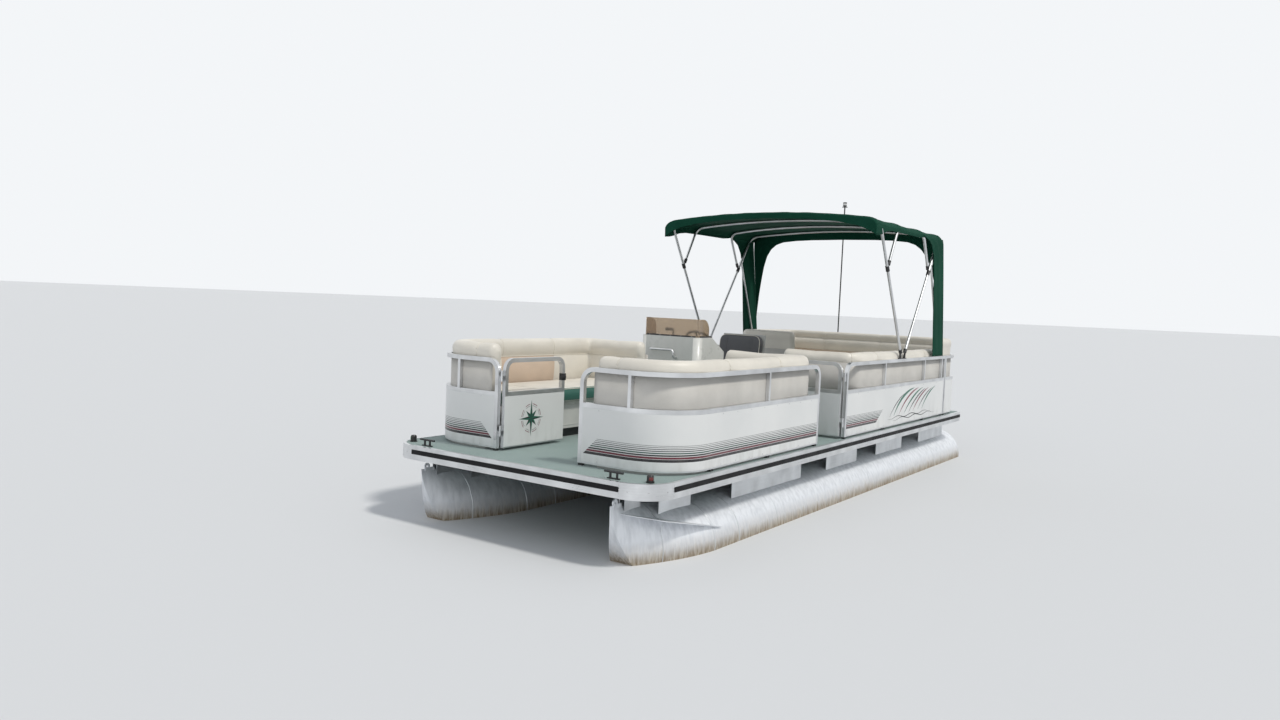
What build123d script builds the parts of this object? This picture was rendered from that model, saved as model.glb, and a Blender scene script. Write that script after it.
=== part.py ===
from build123d import *
import os
from math import atan2, cos, hypot, pi, radians, sin

os.makedirs("parts", exist_ok=True)

# A pontoon boat, in millimetres. +X is forward, +Y is port, +Z is up.
# The origin is the middle of the boat's box, level with the undersides of the two keels.
# Stations are given as distances aft of the deck's bow edge, heights as heights above the deck.

# Overall size
deck_length = 6700
deck_beam = 2440
deck_top = 854
motor_reach = 900
rub_proud = 4
bow_x = (deck_length + motor_reach - rub_proud) / 2
half_beam = deck_beam / 2


def aft(distance):
    """X of a station, from its distance aft of the deck's bow edge."""
    return bow_x - distance


def above(height):
    """Z of a height above the deck's surface."""
    return deck_top + height


def slab(face, low, high, mode=Mode.ADD):
    """Extrude a plan outline between two heights above the deck."""
    extrude(to_extrude=face.moved(Location((0, 0, above(low)))), amount=high - low, dir=(0, 0, 1), mode=mode)


def plan_box(station_1, station_2, y_1, y_2, low, high, mode=Mode.ADD):
    """A box between two stations, two half-breadths and two heights above the deck."""
    centre = ((aft(station_1) + aft(station_2)) / 2, (y_1 + y_2) / 2, above((low + high) / 2))
    with Locations(centre):
        Box(abs(station_2 - station_1), abs(y_2 - y_1), high - low, mode=mode)


# Pontoons
tube_diameter = 584
keel_height = 12
keel_width = 38
tube_centre_inset = 340
tube_centre_y = half_beam - tube_centre_inset
tube_overhang = 180
tube_stern = deck_length + tube_overhang
nose_length = 900
nose_tip_station = 27
nose_tip_height = -170
nose_edge_half = 8
nose_middle_station = 470
nose_middle_half = 212
nose_middle_rise = 45
nose_low_rises = (12, 40)
rake_middle_station = 112
rake_middle_height = -461
rake_foot_station = 520
tube_radius = tube_diameter / 2
tube_height = keel_height + tube_radius - deck_top
tube_seam_stations = (1900, 3900, 5900)
tube_seam_proud = 2
tube_seam_width = 12
stern_cap_lip = 6
strake_thickness = 5
eye_thickness = 10
eye_bore_radius = 9
eye_outer_radius = 26

keel_start = 620
strake_front = 120
strake_aft = 1010
strake_high = -230
strake_low = -425
strake_reach = 278
eye_station = 82
eye_rise = 14

# Structure under the deck
deck_thickness = 19
member_depth = 75
member_width = 44
member_wall = 4
member_pitch = 410
member_first = 300
riser_wall = 5
riser_top = -deck_thickness - member_depth
riser_drop = 260
nose_clearance = 1
member_inset = 25
member_reach = half_beam - member_inset
riser_spans = (
    # first station, last station, half width
    (160, 340, 24),
    (450, 860, 100),
    (1370, 2590, 150),
    (3130, 3860, 150),
    (4380, 5150, 150),
    (5720, deck_length - 100, 150),
)

# Deck edge
trim_height = 105
trim_lip = 3
trim_lip_width = 24
trim_groove_top = -28
trim_groove_bottom = -62
trim_groove_depth = 6
trim_wall = 3
deck_corner_radius = 260
stern_corner_radius = 60
cap_ribs = 5
cap_groove = 6
cap_groove_depth = 3

# Motor pod and transom
pod_front = 5650
pod_half_width = 290
pod_depth = 430
pod_overhang = 330
pod_transom = deck_length + pod_overhang
transom_thickness = 44
transom_half_width = 240
transom_top = -20
pod_well = -170
pod_deck_gap = 30
pod_top = -trim_height - 2
pod_rail_width = 60

# Fences
fence_front = 300
fence_inset = 40
fence_side = half_beam - fence_inset
fence_corner_radius = 420
stern_fence_radius = 300
fence_stern_inset = 50
fence_stern = deck_length - fence_stern_inset
rail_size = 32
rail_top = 690
mid_rail_top = 440
fence_foot = 18
end_bend = 110
stanchion_width = 25
panel_thickness = 3
panel_bottom = 30
seat_depth = 755
gate_seat_gap = 40
bow_gate_half = fence_side - seat_depth - gate_seat_gap
bow_fence_end = 2560
aft_fence_start = 3145
starboard_aft_start = 2572
stern_section_length = 580
section_joint = fence_stern - stern_section_length
section_gap = 12
bow_stanchions = (1627,)
front_stanchion_inset = 320
front_stanchion_y = fence_side - front_stanchion_inset
last_stanchion_inset = 108
lounge_section_length = 721
lounge_stanchion = section_joint - lounge_section_length
last_stanchion = section_joint - last_stanchion_inset
aft_stanchions = (4133, lounge_stanchion, last_stanchion)
starboard_stanchions = (3350, 4133, lounge_stanchion, last_stanchion)
stern_stanchion_y = (0,)
foot_length = 40
joint_foot_inset = 60
foot_stations = (
    780, 1640, 2510, 4140, lounge_stanchion + 1, section_joint - joint_foot_inset, section_joint + foot_length,
)
stern_foot_y = 500

# Gates
hinge_from_post = 20
hinge_from_gate = 24
gate_post_room = 80
bow_gate_width = 2 * bow_gate_half - gate_post_room
port_gate_width = 515
gate_low = 20
gate_bend = 90
hinge_radius = 9
hinge_pin_radius = 4
hinge_clearance = 0.3
hinge_knuckle = 40
hinge_heights = (110, 520)
gate_margin = 1

# Seats
seat_clearance = 0.3
back_thickness = 135
seat_gap = 3
base_inset = 60
base_height = 310
base_wall = 8
base_kick = 45
base_kick_height = 80
cushion_height = 430
cushion_round = 22
back_round = 45
seat_inner = fence_side - seat_depth
bow_back_gap = 95
bow_back_start = bow_gate_half + bow_back_gap
bow_port_end = 2500
bow_starboard_end = 2330
port_turn_inner = seat_inner - 95
starboard_turn_inner = seat_inner + 5
aft_lounge_start = 3400
aft_turn_inner = seat_inner - 35
stern_bench_depth = 700
starboard_lounge_start = lounge_stanchion + 1
port_back_top = 770
starboard_back_top = 795
stern_back_top = 885
lid_front = 950
lid_hinge_gap = 8
aft_lid_length = 350
aft_lid_end = lounge_stanchion + 1 - aft_lid_length
aft_back_gap = 10
aft_back_end = section_joint - aft_back_gap

# Helm
console_front = 2950
console_outboard_gap = 270
console_width = 680
console_outer = half_beam - console_outboard_gap
console_inner = console_outer - console_width
console_depth = 500
console_top = 832
console_dash_start = 250
console_dash_low = 690
console_wall = 12
console_corner = 60
screen_top = 1008
screen_thickness = 6
screen_inset = 24
screen_return = 230
screen_corner = 110
rail_grip_radius = 11
rail_grip_height = 700
rail_grip_reach = 60
rail_grip_outboard = 240
rail_grip_inboard = 40
rail_grip_drop = 75
rail_grip_bend = 30
wheel_rim_radius = 165
wheel_tube_radius = 12
wheel_hub_radius = 32
wheel_hub_depth = 44
wheel_spokes = 3
wheel_spoke_width = 26
wheel_spoke_thickness = 8
wheel_spoke_drop = 10
wheel_standoff = 100
spindle_radius = 11
spindle_reach = 70
housing_radius = 36
housing_root = 20
housing_gap = 8
column_depth = 455
column_height = 690
dash_angle = 45
helm_offset = 290
helm_y = -(console_inner + helm_offset)
chair_station = 4130
pedestal_radius = 36
pedestal_base_radius = 150
pedestal_height = 330
pedestal_plate = 8
spindle_height = 40
chair_width = 520
chair_depth = 470
chair_shell = 18
chair_tray = 45
chair_recline = 60
chair_back_top = 850
chair_pad = 90
chair_pad_gap = 2
chair_shell_round = 6
chair_pad_round = 20

# Bimini top
bow_tube_radius = 14
bimini_y = fence_side - rail_size / 2
bimini_foot_height = 752
bimini_bend = 110
bimini_crown_height = 2090
bimini_sag = 62
main_bows = (
    # foot station, top station
    (4560, 3720),
    (4680, 5640),
)
second_bows = (
    # main bow it is carried by, height of its collar, top station
    (0, 1580, 4330),
    (1, 1600, 5010),
)
collar_radius = 19
collar_length = 55
second_bow_start = 50
bow_stub_radius = 9
bow_stub_gap = 2
bow_socket_radius = 17
bow_socket_length = 45
bow_socket_back = 6
foot_socket_radius = 18
foot_socket_length = 40
foot_plate_half = 26
foot_plate_width = 26
foot_plate_thickness = 8
foot_post_half = 12
foot_post_width = 18
foot_post_rise = 6
bore_margin = 30
rear_pole_inset = 270
rear_pole_foot = section_joint - rear_pole_inset
rear_pole_radius = 11
rear_pole_height = 1700
rear_foot_thickness = 14
rear_pole_gap = 3
rear_collar_length = 40
canopy_front = 3650
canopy_aft = 5700
canopy_thickness = 8
canopy_overhang = 32
canopy_half_width = bimini_y + canopy_overhang
canopy_skirt_drop = 105
canopy_skirt = bimini_crown_height - canopy_skirt_drop
canopy_round = 120
canopy_end_trim = 60
canopy_arch_drop = 30
canopy_arch_share = 1.2
leg_thickness = 5
leg_gap = 1
canopy_legs_shape = (
    # station, height
    (5250, canopy_skirt - leg_gap),
    (5690, canopy_skirt - leg_gap),
    (5930, rail_top + leg_gap),
    (5560, rail_top + leg_gap),
)

# Outboard motor
tilt_offset = 65
tilt_station = pod_transom + tilt_offset
tilt_height = 18
tilt_tube_radius = 12
tilt_ear_radius = 22
bracket_half = 95
bracket_plate = 20
bracket_low = -320
steer_offset = 55
steer_station = tilt_station + steer_offset
steer_tube_radius = 30
steer_shaft_radius = 20
steer_top = -12
steer_bottom = -310
yoke_radius = 24
yoke_depth = 34
cowl_half_width = 165
cowl_bottom = 55
cowl_top = 430
cowl_round = 70
plate_height = -555
plate_thickness = 8
prop_axis_height = -695
prop_offset = 230
prop_station = steer_station + prop_offset
prop_radius = 124
prop_hub_radius = 38
prop_hub_length = 84
prop_shaft_radius = 9
prop_blades = 3
skeg_bottom = -830
leg_forms = (
    # height, front and rear from the steering axis, half width
    (cowl_bottom - seat_clearance, 36, 370, 96),
    (-200, 46, 290, 62),
    (plate_height, 54, 250, 40),
)
lower_leg_forms = (
    (plate_height + 2, 54, 195, 36),
    (prop_axis_height, 60, 175, 28),
)
plate_corners = (
    # distance behind the steering axis, half breadth
    (50, 40),
    (150, 92),
    (330, 92),
    (350, 60),
)
gearcase_line = (
    # distance ahead of the propeller, radius
    (260, 0),
    (230, 34),
    (150, 46),
    (50, 38),
)
skeg_line = (
    # distance behind the steering axis, height
    (40, prop_axis_height - 30),
    (135, skeg_bottom),
    (185, skeg_bottom),
    (172, prop_axis_height - 30),
)

# Small fittings
cleat_length = 150
cleat_base = 22
cleat_plate = 8
cleat_foot_length = 93
cleat_post_offset = 27
cleat_post_radius = 8
cleat_post_height = 42
cleat_horn_height = 46
cleat_horn_radius = 7.5
stern_cleat_inset = 500
cleat_places = (
    # station, y, height of its base
    (70, tube_centre_y - 10, 0),
    (70, 10 - tube_centre_y, 0),
    (deck_length - 13, half_beam - stern_cleat_inset, 3),
    (deck_length - 13, stern_cleat_inset - half_beam, 3),
)
light_radius = 28
light_base = 10
light_dome_inset = 5
light_height = 42
light_round = 12
nav_station = 145
nav_inset = 115
nav_y = half_beam - nav_inset
light_pole_y = -390
light_pole_top = 2550
light_pole_radius = 8
pole_socket_radius = 14
pole_socket_height = 30
pole_socket_bottom = 20
lamp_radius = 24
lamp_height = 50
lamp_brim_radius = 34
lamp_brim_drop = 60
lamp_brim_thickness = 8


# Pontoons: tube, raked nose with a knife edge, keel strip, weld rings, strake and mooring eye
def lens(station, low, high, half_width):
    """Upright section of the nose: two arcs that meet at its top and bottom."""
    middle = (low + high) / 2
    with BuildSketch(Plane.YZ.offset(aft(station)), mode=Mode.PRIVATE) as section:
        with BuildLine():
            ThreePointArc((tube_centre_y, high), (tube_centre_y + half_width, middle), (tube_centre_y, low))
            ThreePointArc((tube_centre_y, low), (tube_centre_y - half_width, middle), (tube_centre_y, high))
        make_face()
    return section.sketch


tube_z = above(tube_height)
tube_low = tube_z - tube_radius
tube_high = tube_z + tube_radius
tip_z = above(nose_tip_height)


def nose_sections(grow=0):
    """The nose narrows from the full circle to an upright blade, and its top rises to the tip."""
    return [
        lens(nose_length, tube_low - grow, tube_high + grow, tube_radius + grow),
        lens(
            nose_middle_station, tube_low + nose_low_rises[0] - grow, tube_high + nose_middle_rise + grow,
            nose_middle_half + grow,
        ),
        lens(nose_tip_station, tube_low + nose_low_rises[1] - grow, tip_z + grow, nose_edge_half + grow),
    ]


def make_pontoon():
    with BuildPart() as pontoon:
        loft(nose_sections())
        # The leading edge is raked by a curved cut
        with BuildSketch(Plane.XZ.offset(-tube_centre_y - tube_radius)):
            with BuildLine():
                rake = ThreePointArc(
                    (aft(nose_tip_station), tip_z),
                    (aft(rake_middle_station), above(rake_middle_height)),
                    (aft(rake_foot_station), tube_low + 5),
                )
                Polyline(
                    rake @ 1,
                    (aft(rake_foot_station), tube_low - 60),
                    (aft(-60), tube_low - 60),
                    (aft(-60), tip_z),
                    rake @ 0,
                )
            make_face()
        extrude(amount=2 * tube_radius, mode=Mode.SUBTRACT)
        # The tube's straight run, its weld rings and the lip of its stern cap
        with BuildSketch(Plane.YZ.offset(aft(tube_stern))):
            with Locations((tube_centre_y, tube_z)):
                Circle(tube_radius)
        extrude(amount=tube_stern - nose_length)
        for station in tube_seam_stations:
            with BuildSketch(Plane.YZ.offset(aft(station))):
                with Locations((tube_centre_y, tube_z)):
                    Circle(tube_radius + tube_seam_proud)
            extrude(amount=tube_seam_width)
        with BuildSketch(Plane.YZ.offset(aft(tube_stern))):
            with Locations((tube_centre_y, tube_z)):
                Circle(tube_radius - 2 * stern_cap_lip)
        extrude(amount=stern_cap_lip, mode=Mode.SUBTRACT)
        # The keel strip is flat below, and the boat stands on it
        with Locations(((aft(keel_start) + aft(tube_stern)) / 2, tube_centre_y, keel_height)):
            Box(tube_stern - keel_start, keel_width, 2 * keel_height)
        # The splash strake slopes down along the nose's outer side
        with BuildSketch(Plane.XZ.offset(-tube_centre_y)):
            with BuildLine():
                Polyline(
                    (aft(strake_front), above(strake_high)),
                    (aft(strake_aft), above(strake_low)),
                    (aft(strake_aft), above(strake_low - strake_thickness)),
                    (aft(strake_front), above(strake_high - strake_thickness)),
                    close=True,
                )
            make_face()
        extrude(amount=-strake_reach)
        with BuildSketch(Plane.XY.offset(above(0))):
            with BuildLine():
                Polyline(
                    (aft(strake_front - 5), tube_centre_y + 60),
                    (aft(strake_front + 180), tube_centre_y + strake_reach + 1),
                    (aft(strake_front - 5), tube_centre_y + strake_reach + 1),
                    close=True,
                )
            make_face()
        extrude(amount=-500, mode=Mode.SUBTRACT)
        # The mooring eye stands on the nose's upper tip
        with BuildSketch(Plane.XZ.offset(-tube_centre_y - eye_thickness / 2)):
            with Locations((aft(eye_station), tip_z + eye_rise)):
                Circle(eye_outer_radius)
            with Locations((aft(eye_station + 25), tip_z - 25)):
                Rectangle(90, 60)
            with Locations((aft(eye_station), tip_z + eye_rise)):
                Circle(eye_bore_radius, mode=Mode.SUBTRACT)
        extrude(amount=eye_thickness)
    return pontoon.part


pontoon_port = make_pontoon()
pontoon_port.label = "pontoon_port"
export_step(pontoon_port, "parts/pontoon_port.step")
with BuildPart() as pontoon_starboard:
    mirror(pontoon_port, about=Plane.XZ)
pontoon_starboard.part.label = "pontoon_starboard"
export_step(pontoon_starboard.part, "parts/pontoon_starboard.step")


# Risers: channels that stand on the tubes and carry the cross members, with open gaps between them
with BuildPart() as risers:
    for side in (1, -1):
        for first, last, half_width in riser_spans:
            inner = side * (tube_centre_y - half_width)
            outer = side * (tube_centre_y + half_width)
            hollow = side * riser_wall
            plan_box(first, last, inner, outer, riser_top - riser_drop, riser_top)
            plan_box(
                first - 1, last + 1, inner + hollow, outer - hollow,
                riser_top - riser_drop - 1, riser_top - riser_wall, mode=Mode.SUBTRACT,
            )
    # The legs end at the tube's skin
    for side in (1, -1):
        with BuildSketch(Plane.YZ.offset(aft(tube_stern))):
            with Locations((side * tube_centre_y, tube_z)):
                Circle(tube_radius + tube_seam_proud + seat_clearance)
        extrude(amount=tube_stern - nose_length, mode=Mode.SUBTRACT)
    with BuildPart(mode=Mode.PRIVATE) as nose_room:
        loft(nose_sections(nose_clearance))
        mirror(about=Plane.XZ)
    add(nose_room.part, mode=Mode.SUBTRACT)
risers.part.label = "risers"
export_step(risers.part, "parts/risers.step")

# Cross members: channels across the boat, from riser to riser, under the deck
with BuildPart() as cross_members:
    station = member_first
    while station < deck_length - member_width:
        plan_box(
            station, station + member_width,
            -member_reach, member_reach,
            riser_top, -deck_thickness,
        )
        plan_box(
            station + member_wall, station + member_width + 1,
            -member_reach - 1, member_reach + 1,
            riser_top + member_wall, -deck_thickness - member_wall,
            mode=Mode.SUBTRACT,
        )
        station += member_pitch
cross_members.part.label = "cross_members"
export_step(cross_members.part, "parts/cross_members.step")


# Deck and its edge
def deck_face(inset):
    """Plan outline of the deck, drawn in from its edge."""
    with BuildSketch(mode=Mode.PRIVATE) as outline:
        with Locations((aft(deck_length / 2), 0)):
            Rectangle(deck_length - 2 * inset, deck_beam - 2 * inset)
        fillet(outline.vertices().group_by(Axis.X)[-1], radius=deck_corner_radius - inset)
        fillet(outline.vertices().group_by(Axis.X)[0], radius=stern_corner_radius - inset)
    return outline.sketch


def corner_zone(reach):
    """Plan squares round the two bow corners, where the corner caps are."""
    with BuildSketch(mode=Mode.PRIVATE) as zone:
        for side in (1, -1):
            with Locations((aft(reach / 2 - 10), side * (half_beam - reach / 2 + 10))):
                Rectangle(reach + 20, reach + 20)
    return zone.sketch


with BuildPart() as deck:
    slab(deck_face(trim_wall + trim_groove_depth + seat_clearance), -deck_thickness, 0)
deck.part.label = "deck"
export_step(deck.part, "parts/deck.step")

with BuildPart() as deck_trim:
    slab(deck_face(0), -trim_height, trim_lip)
    slab(deck_face(trim_lip_width), -trim_height - 1, trim_lip + 1, mode=Mode.SUBTRACT)
    # The hollow inside the edge leaves a wall, a lip over the deck and a flange below
    slab(deck_face(trim_wall + trim_groove_depth), trim_wall - trim_height, 0, mode=Mode.SUBTRACT)
    slab(deck_face(-1), trim_groove_bottom, trim_groove_top, mode=Mode.SUBTRACT)
    slab(deck_face(trim_groove_depth), trim_groove_bottom - 1, trim_groove_top + 1)
    slab(deck_face(trim_groove_depth + trim_wall), trim_groove_bottom - 2, trim_groove_top + 2, mode=Mode.SUBTRACT)
    slab(corner_zone(deck_corner_radius), -trim_height - 1, trim_lip + 1, mode=Mode.SUBTRACT)
deck_trim.part.label = "deck_trim"
export_step(deck_trim.part, "parts/deck_trim.step")

# Corner caps: ribbed castings that carry the deck edge round the two bow corners
with BuildPart() as corner_caps:
    slab(deck_face(0), -trim_height, trim_lip)
    slab(deck_face(trim_lip_width), -trim_height - 1, trim_lip + 1, mode=Mode.SUBTRACT)
    slab(deck_face(trim_wall + trim_groove_depth), trim_wall - trim_height, 0, mode=Mode.SUBTRACT)
    rib_pitch = trim_height / (cap_ribs + 1)
    for rib in range(cap_ribs):
        groove = -trim_height + rib_pitch * (rib + 1)
        slab(deck_face(-1), groove - cap_groove / 2, groove + cap_groove / 2, mode=Mode.SUBTRACT)
        slab(deck_face(cap_groove_depth), groove - cap_groove / 2, groove + cap_groove / 2)
        slab(
            deck_face(trim_wall + trim_groove_depth),
            groove - cap_groove / 2 - 1, groove + cap_groove / 2 + 1, mode=Mode.SUBTRACT,
        )
    slab(corner_zone(deck_corner_radius - seat_clearance), -trim_height - 2, trim_lip + 2, mode=Mode.INTERSECT)
corner_caps.part.label = "corner_caps"
export_step(corner_caps.part, "parts/corner_caps.step")

# Rub inserts: rubber strips in the trim's groove along both sides, the stern and the bow
with BuildPart() as rub_inserts:
    slab(deck_face(-rub_proud), trim_groove_bottom + seat_clearance, trim_groove_top - seat_clearance)
    slab(
        deck_face(trim_groove_depth - seat_clearance),
        trim_groove_bottom - 1, trim_groove_top + 1, mode=Mode.SUBTRACT,
    )
    slab(corner_zone(deck_corner_radius + seat_clearance), -trim_height, trim_lip, mode=Mode.SUBTRACT)
rub_inserts.part.label = "rub_inserts"
export_step(rub_inserts.part, "parts/rub_inserts.step")

# Motor pod: a closed box between the tubes that carries the transom
with BuildPart() as motor_pod:
    with BuildSketch(Plane.XZ.offset(-pod_half_width)):
        with BuildLine():
            Polyline(
                (aft(pod_front), above(pod_top)),
                (aft(pod_front), above(pod_top - 80)),
                (aft(pod_front + 500), above(riser_top - pod_depth)),
                (aft(pod_transom - 80), above(riser_top - pod_depth)),
                (aft(pod_transom - transom_thickness), above(riser_top - pod_depth + 60)),
                (aft(pod_transom - transom_thickness), above(pod_well)),
                (aft(deck_length + pod_deck_gap), above(pod_well)),
                (aft(deck_length + pod_deck_gap), above(pod_top)),
                close=True,
            )
        make_face()
    extrude(amount=2 * pod_half_width)
    # Rails on the pod's top hang it from the cross members
    for side in (1, -1):
        rail_y = side * (pod_half_width - pod_rail_width)
        plan_box(pod_front, deck_length - 60, rail_y, rail_y + side * pod_rail_width, pod_top, riser_top)
    plan_box(
        pod_transom - transom_thickness, pod_transom,
        -transom_half_width, transom_half_width,
        riser_top - pod_depth + 60, transom_top,
    )
    # Knees brace the transom to the pod's top
    for side in (1, -1):
        with BuildSketch(Plane.XZ.offset(-side * (transom_half_width - 20) - 6)):
            with BuildLine():
                Polyline(
                    (aft(pod_transom - transom_thickness), above(transom_top - 20)),
                    (aft(pod_transom - transom_thickness), above(pod_well)),
                    (aft(deck_length + pod_deck_gap + 10), above(pod_well)),
                    close=True,
                )
            make_face()
        extrude(amount=12)
motor_pod.part.label = "motor_pod"
export_step(motor_pod.part, "parts/motor_pod.step")


# Fences: square-tube frames with end posts bent into the top rail, stanchions and sheet panels
def bow_strip(outer, inner, start=bow_gate_half, end=bow_fence_end):
    """Plan strip along the port bow fence, between two offsets inboard of the fence's outer face."""
    front = aft(fence_front)
    centre_x = front - fence_corner_radius
    centre_y = fence_side - fence_corner_radius
    with BuildSketch(mode=Mode.PRIVATE) as strip:
        with BuildLine():
            Line((front - outer, start), (front - outer, centre_y))
            CenterArc((centre_x, centre_y), fence_corner_radius - outer, 0, 90)
            Polyline(
                (centre_x, fence_side - outer),
                (aft(end), fence_side - outer),
                (aft(end), fence_side - inner),
                (centre_x, fence_side - inner),
            )
            CenterArc((centre_x, centre_y), fence_corner_radius - inner, 0, 90)
            Polyline((front - inner, centre_y), (front - inner, start), (front - outer, start))
        make_face()
    return strip.sketch


def stern_strip(outer, inner, station):
    """Plan strip round the stern fence, from one side's station to the same station on the other."""
    stern = aft(fence_stern)
    centre_x = stern + stern_fence_radius
    centre_y = fence_side - stern_fence_radius
    with BuildSketch(mode=Mode.PRIVATE) as strip:
        with BuildLine():
            for offset in (outer, inner):
                radius = stern_fence_radius - offset
                Line((aft(station), fence_side - offset), (centre_x, fence_side - offset))
                CenterArc((centre_x, centre_y), radius, 90, 90)
                Line((stern + offset, centre_y), (stern + offset, -centre_y))
                CenterArc((centre_x, -centre_y), radius, 180, 90)
                Line((centre_x, offset - fence_side), (aft(station), offset - fence_side))
            for side in (1, -1):
                Line((aft(station), side * (fence_side - outer)), (aft(station), side * (fence_side - inner)))
        make_face()
    return strip.sketch


def straight_strip(outer, inner, start, end):
    """Plan strip along the straight port side, between two stations."""
    with BuildSketch(mode=Mode.PRIVATE) as strip:
        with Locations(((aft(start) + aft(end)) / 2, fence_side - (outer + inner) / 2)):
            Rectangle(end - start, inner - outer)
    return strip.sketch


def end_hoop(plane, run):
    """A post bent over into the top rail: it stands at the plane's origin and bends towards +x."""
    with BuildSketch(plane, mode=Mode.PRIVATE) as hoop:
        with BuildLine():
            Polyline((0, fence_foot), (0, rail_top - end_bend))
            CenterArc((end_bend, rail_top - end_bend), end_bend, 90, 90)
            Polyline((end_bend, rail_top), (run, rail_top), (run, rail_top - rail_size))
            Line((run, rail_top - rail_size), (end_bend, rail_top - rail_size))
            CenterArc((end_bend, rail_top - end_bend), end_bend - rail_size, 90, 90)
            Polyline((rail_size, rail_top - end_bend), (rail_size, fence_foot), (0, fence_foot))
        make_face()
    extrude(to_extrude=hoop.sketch, amount=rail_size)


def rails(strip):
    """Middle and bottom rails of a fence, from its plan strip."""
    slab(strip(0, rail_size), mid_rail_top - rail_size, mid_rail_top)
    slab(strip(panel_thickness, rail_size), fence_foot, fence_foot + rail_size)


def side_stanchion(station, side=1):
    """Upright between the middle and top rails."""
    plan_box(
        station - stanchion_width / 2, station + stanchion_width / 2,
        side * (fence_side - rail_size), side * (fence_side - 3),
        mid_rail_top - 1, rail_top - rail_size + 1,
    )


def hinge_lower(x, y):
    """Fence half of a lift-off hinge: a knuckle with a pin that stands out of its top."""
    for height in hinge_heights:
        with Locations((x, y, above(height + hinge_knuckle / 2))):
            Cylinder(hinge_radius, hinge_knuckle)
        with Locations((x, y, above(height + hinge_knuckle))):
            Cylinder(hinge_pin_radius, 1.6 * hinge_knuckle)


def hinge_upper(x, y):
    """Gate half of a lift-off hinge: a bored knuckle that sits over the pin."""
    for height in hinge_heights:
        low = height + hinge_knuckle + hinge_clearance
        with Locations((x, y, above(low + hinge_knuckle / 2))):
            Cylinder(hinge_radius, hinge_knuckle)
            Cylinder(hinge_pin_radius + hinge_clearance, hinge_knuckle + 1, mode=Mode.SUBTRACT)


def hinge_leaf(x, y, length_x, length_y, upper):
    """Flat leaf from a knuckle to the post or the gate."""
    for height in hinge_heights:
        low = height + (hinge_knuckle + hinge_clearance if upper else 0)
        with Locations((x, y, above(low + hinge_knuckle / 2))):
            Box(length_x, length_y, hinge_knuckle)


rail_middle = fence_side - rail_size / 2
bow_hinge_x = aft(fence_front + rail_size / 2)
bow_hinge_y = hinge_from_post - bow_gate_half
port_hinge_x = aft(aft_fence_start - hinge_from_post)
port_hinge_y = rail_middle
front_post_plane = Plane(
    origin=(aft(fence_front + rail_size), bow_gate_half, deck_top), x_dir=(0, 1, 0), z_dir=(1, 0, 0)
)
bow_aft_post_plane = Plane(
    origin=(aft(bow_fence_end), fence_side, deck_top), x_dir=(1, 0, 0), z_dir=(0, -1, 0)
)


def bow_fence(extra_stanchions):
    with BuildPart() as frame:
        slab(
            bow_strip(0, rail_size, bow_gate_half + end_bend - 1, bow_fence_end - end_bend + 1),
            rail_top - rail_size, rail_top,
        )
        rails(bow_strip)
        end_hoop(front_post_plane, end_bend + 1)
        end_hoop(bow_aft_post_plane, end_bend + 1)
        for station in extra_stanchions:
            side_stanchion(station)
        plan_box(
            fence_front + 3, fence_front + rail_size,
            front_stanchion_y - stanchion_width / 2 - 60, front_stanchion_y + stanchion_width / 2 - 60,
            mid_rail_top - 1, rail_top - rail_size + 1,
        )
    return frame.part


fence_bow_port = bow_fence(bow_stanchions)
fence_bow_port.label = "fence_bow_port"
export_step(fence_bow_port, "parts/fence_bow_port.step")

with BuildPart() as fence_bow_starboard:
    mirror(fence_bow_port, about=Plane.XZ)
    hinge_lower(bow_hinge_x, bow_hinge_y)
    hinge_leaf(bow_hinge_x, bow_hinge_y - hinge_from_post / 2 - 3, 4, hinge_from_post - 5, upper=False)
fence_bow_starboard.part.label = "fence_bow_starboard"
export_step(fence_bow_starboard.part, "parts/fence_bow_starboard.step")


# The port aft fence begins with the gate's hinge post, the starboard one at the bow fence's end
def aft_fence(start, stations):
    with BuildPart() as frame:
        origin = (aft(start), fence_side - rail_size, deck_top)
        end_hoop(Plane(origin=origin, x_dir=(-1, 0, 0), z_dir=(0, 1, 0)), end_bend + 1)
        slab(
            straight_strip(0, rail_size, start + end_bend, section_joint),
            rail_top - rail_size, rail_top,
        )
        rails(lambda outer, inner: straight_strip(outer, inner, start, section_joint))
        for station in stations:
            side_stanchion(station)
        plan_box(
            section_joint - rail_size, section_joint,
            fence_side - rail_size, fence_side, fence_foot, rail_top,
        )
    return frame.part


with BuildPart() as fence_aft_port:
    add(aft_fence(aft_fence_start, aft_stanchions))
    hinge_lower(port_hinge_x, port_hinge_y)
    hinge_leaf(port_hinge_x - hinge_from_post / 2 - 3, port_hinge_y, hinge_from_post - 5, 4, upper=False)
fence_aft_port.part.label = "fence_aft_port"
export_step(fence_aft_port.part, "parts/fence_aft_port.step")

with BuildPart() as fence_aft_starboard:
    mirror(aft_fence(starboard_aft_start, starboard_stanchions), about=Plane.XZ)
fence_aft_starboard.part.label = "fence_aft_starboard"
export_step(fence_aft_starboard.part, "parts/fence_aft_starboard.step")

stern_section = section_joint + section_gap
with BuildPart() as fence_stern_frame:
    slab(stern_strip(0, rail_size, stern_section), rail_top - rail_size, rail_top)
    rails(lambda outer, inner: stern_strip(outer, inner, stern_section))
    for side in (1, -1):
        plan_box(
            stern_section, stern_section + rail_size,
            side * (fence_side - rail_size), side * fence_side, fence_foot, rail_top,
        )
    for y in stern_stanchion_y:
        plan_box(
            fence_stern - rail_size, fence_stern - 3,
            y - stanchion_width / 2, y + stanchion_width / 2, mid_rail_top - 1, rail_top - rail_size + 1,
        )
fence_stern_frame.part.label = "fence_stern"
export_step(fence_stern_frame.part, "parts/fence_stern.step")

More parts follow.
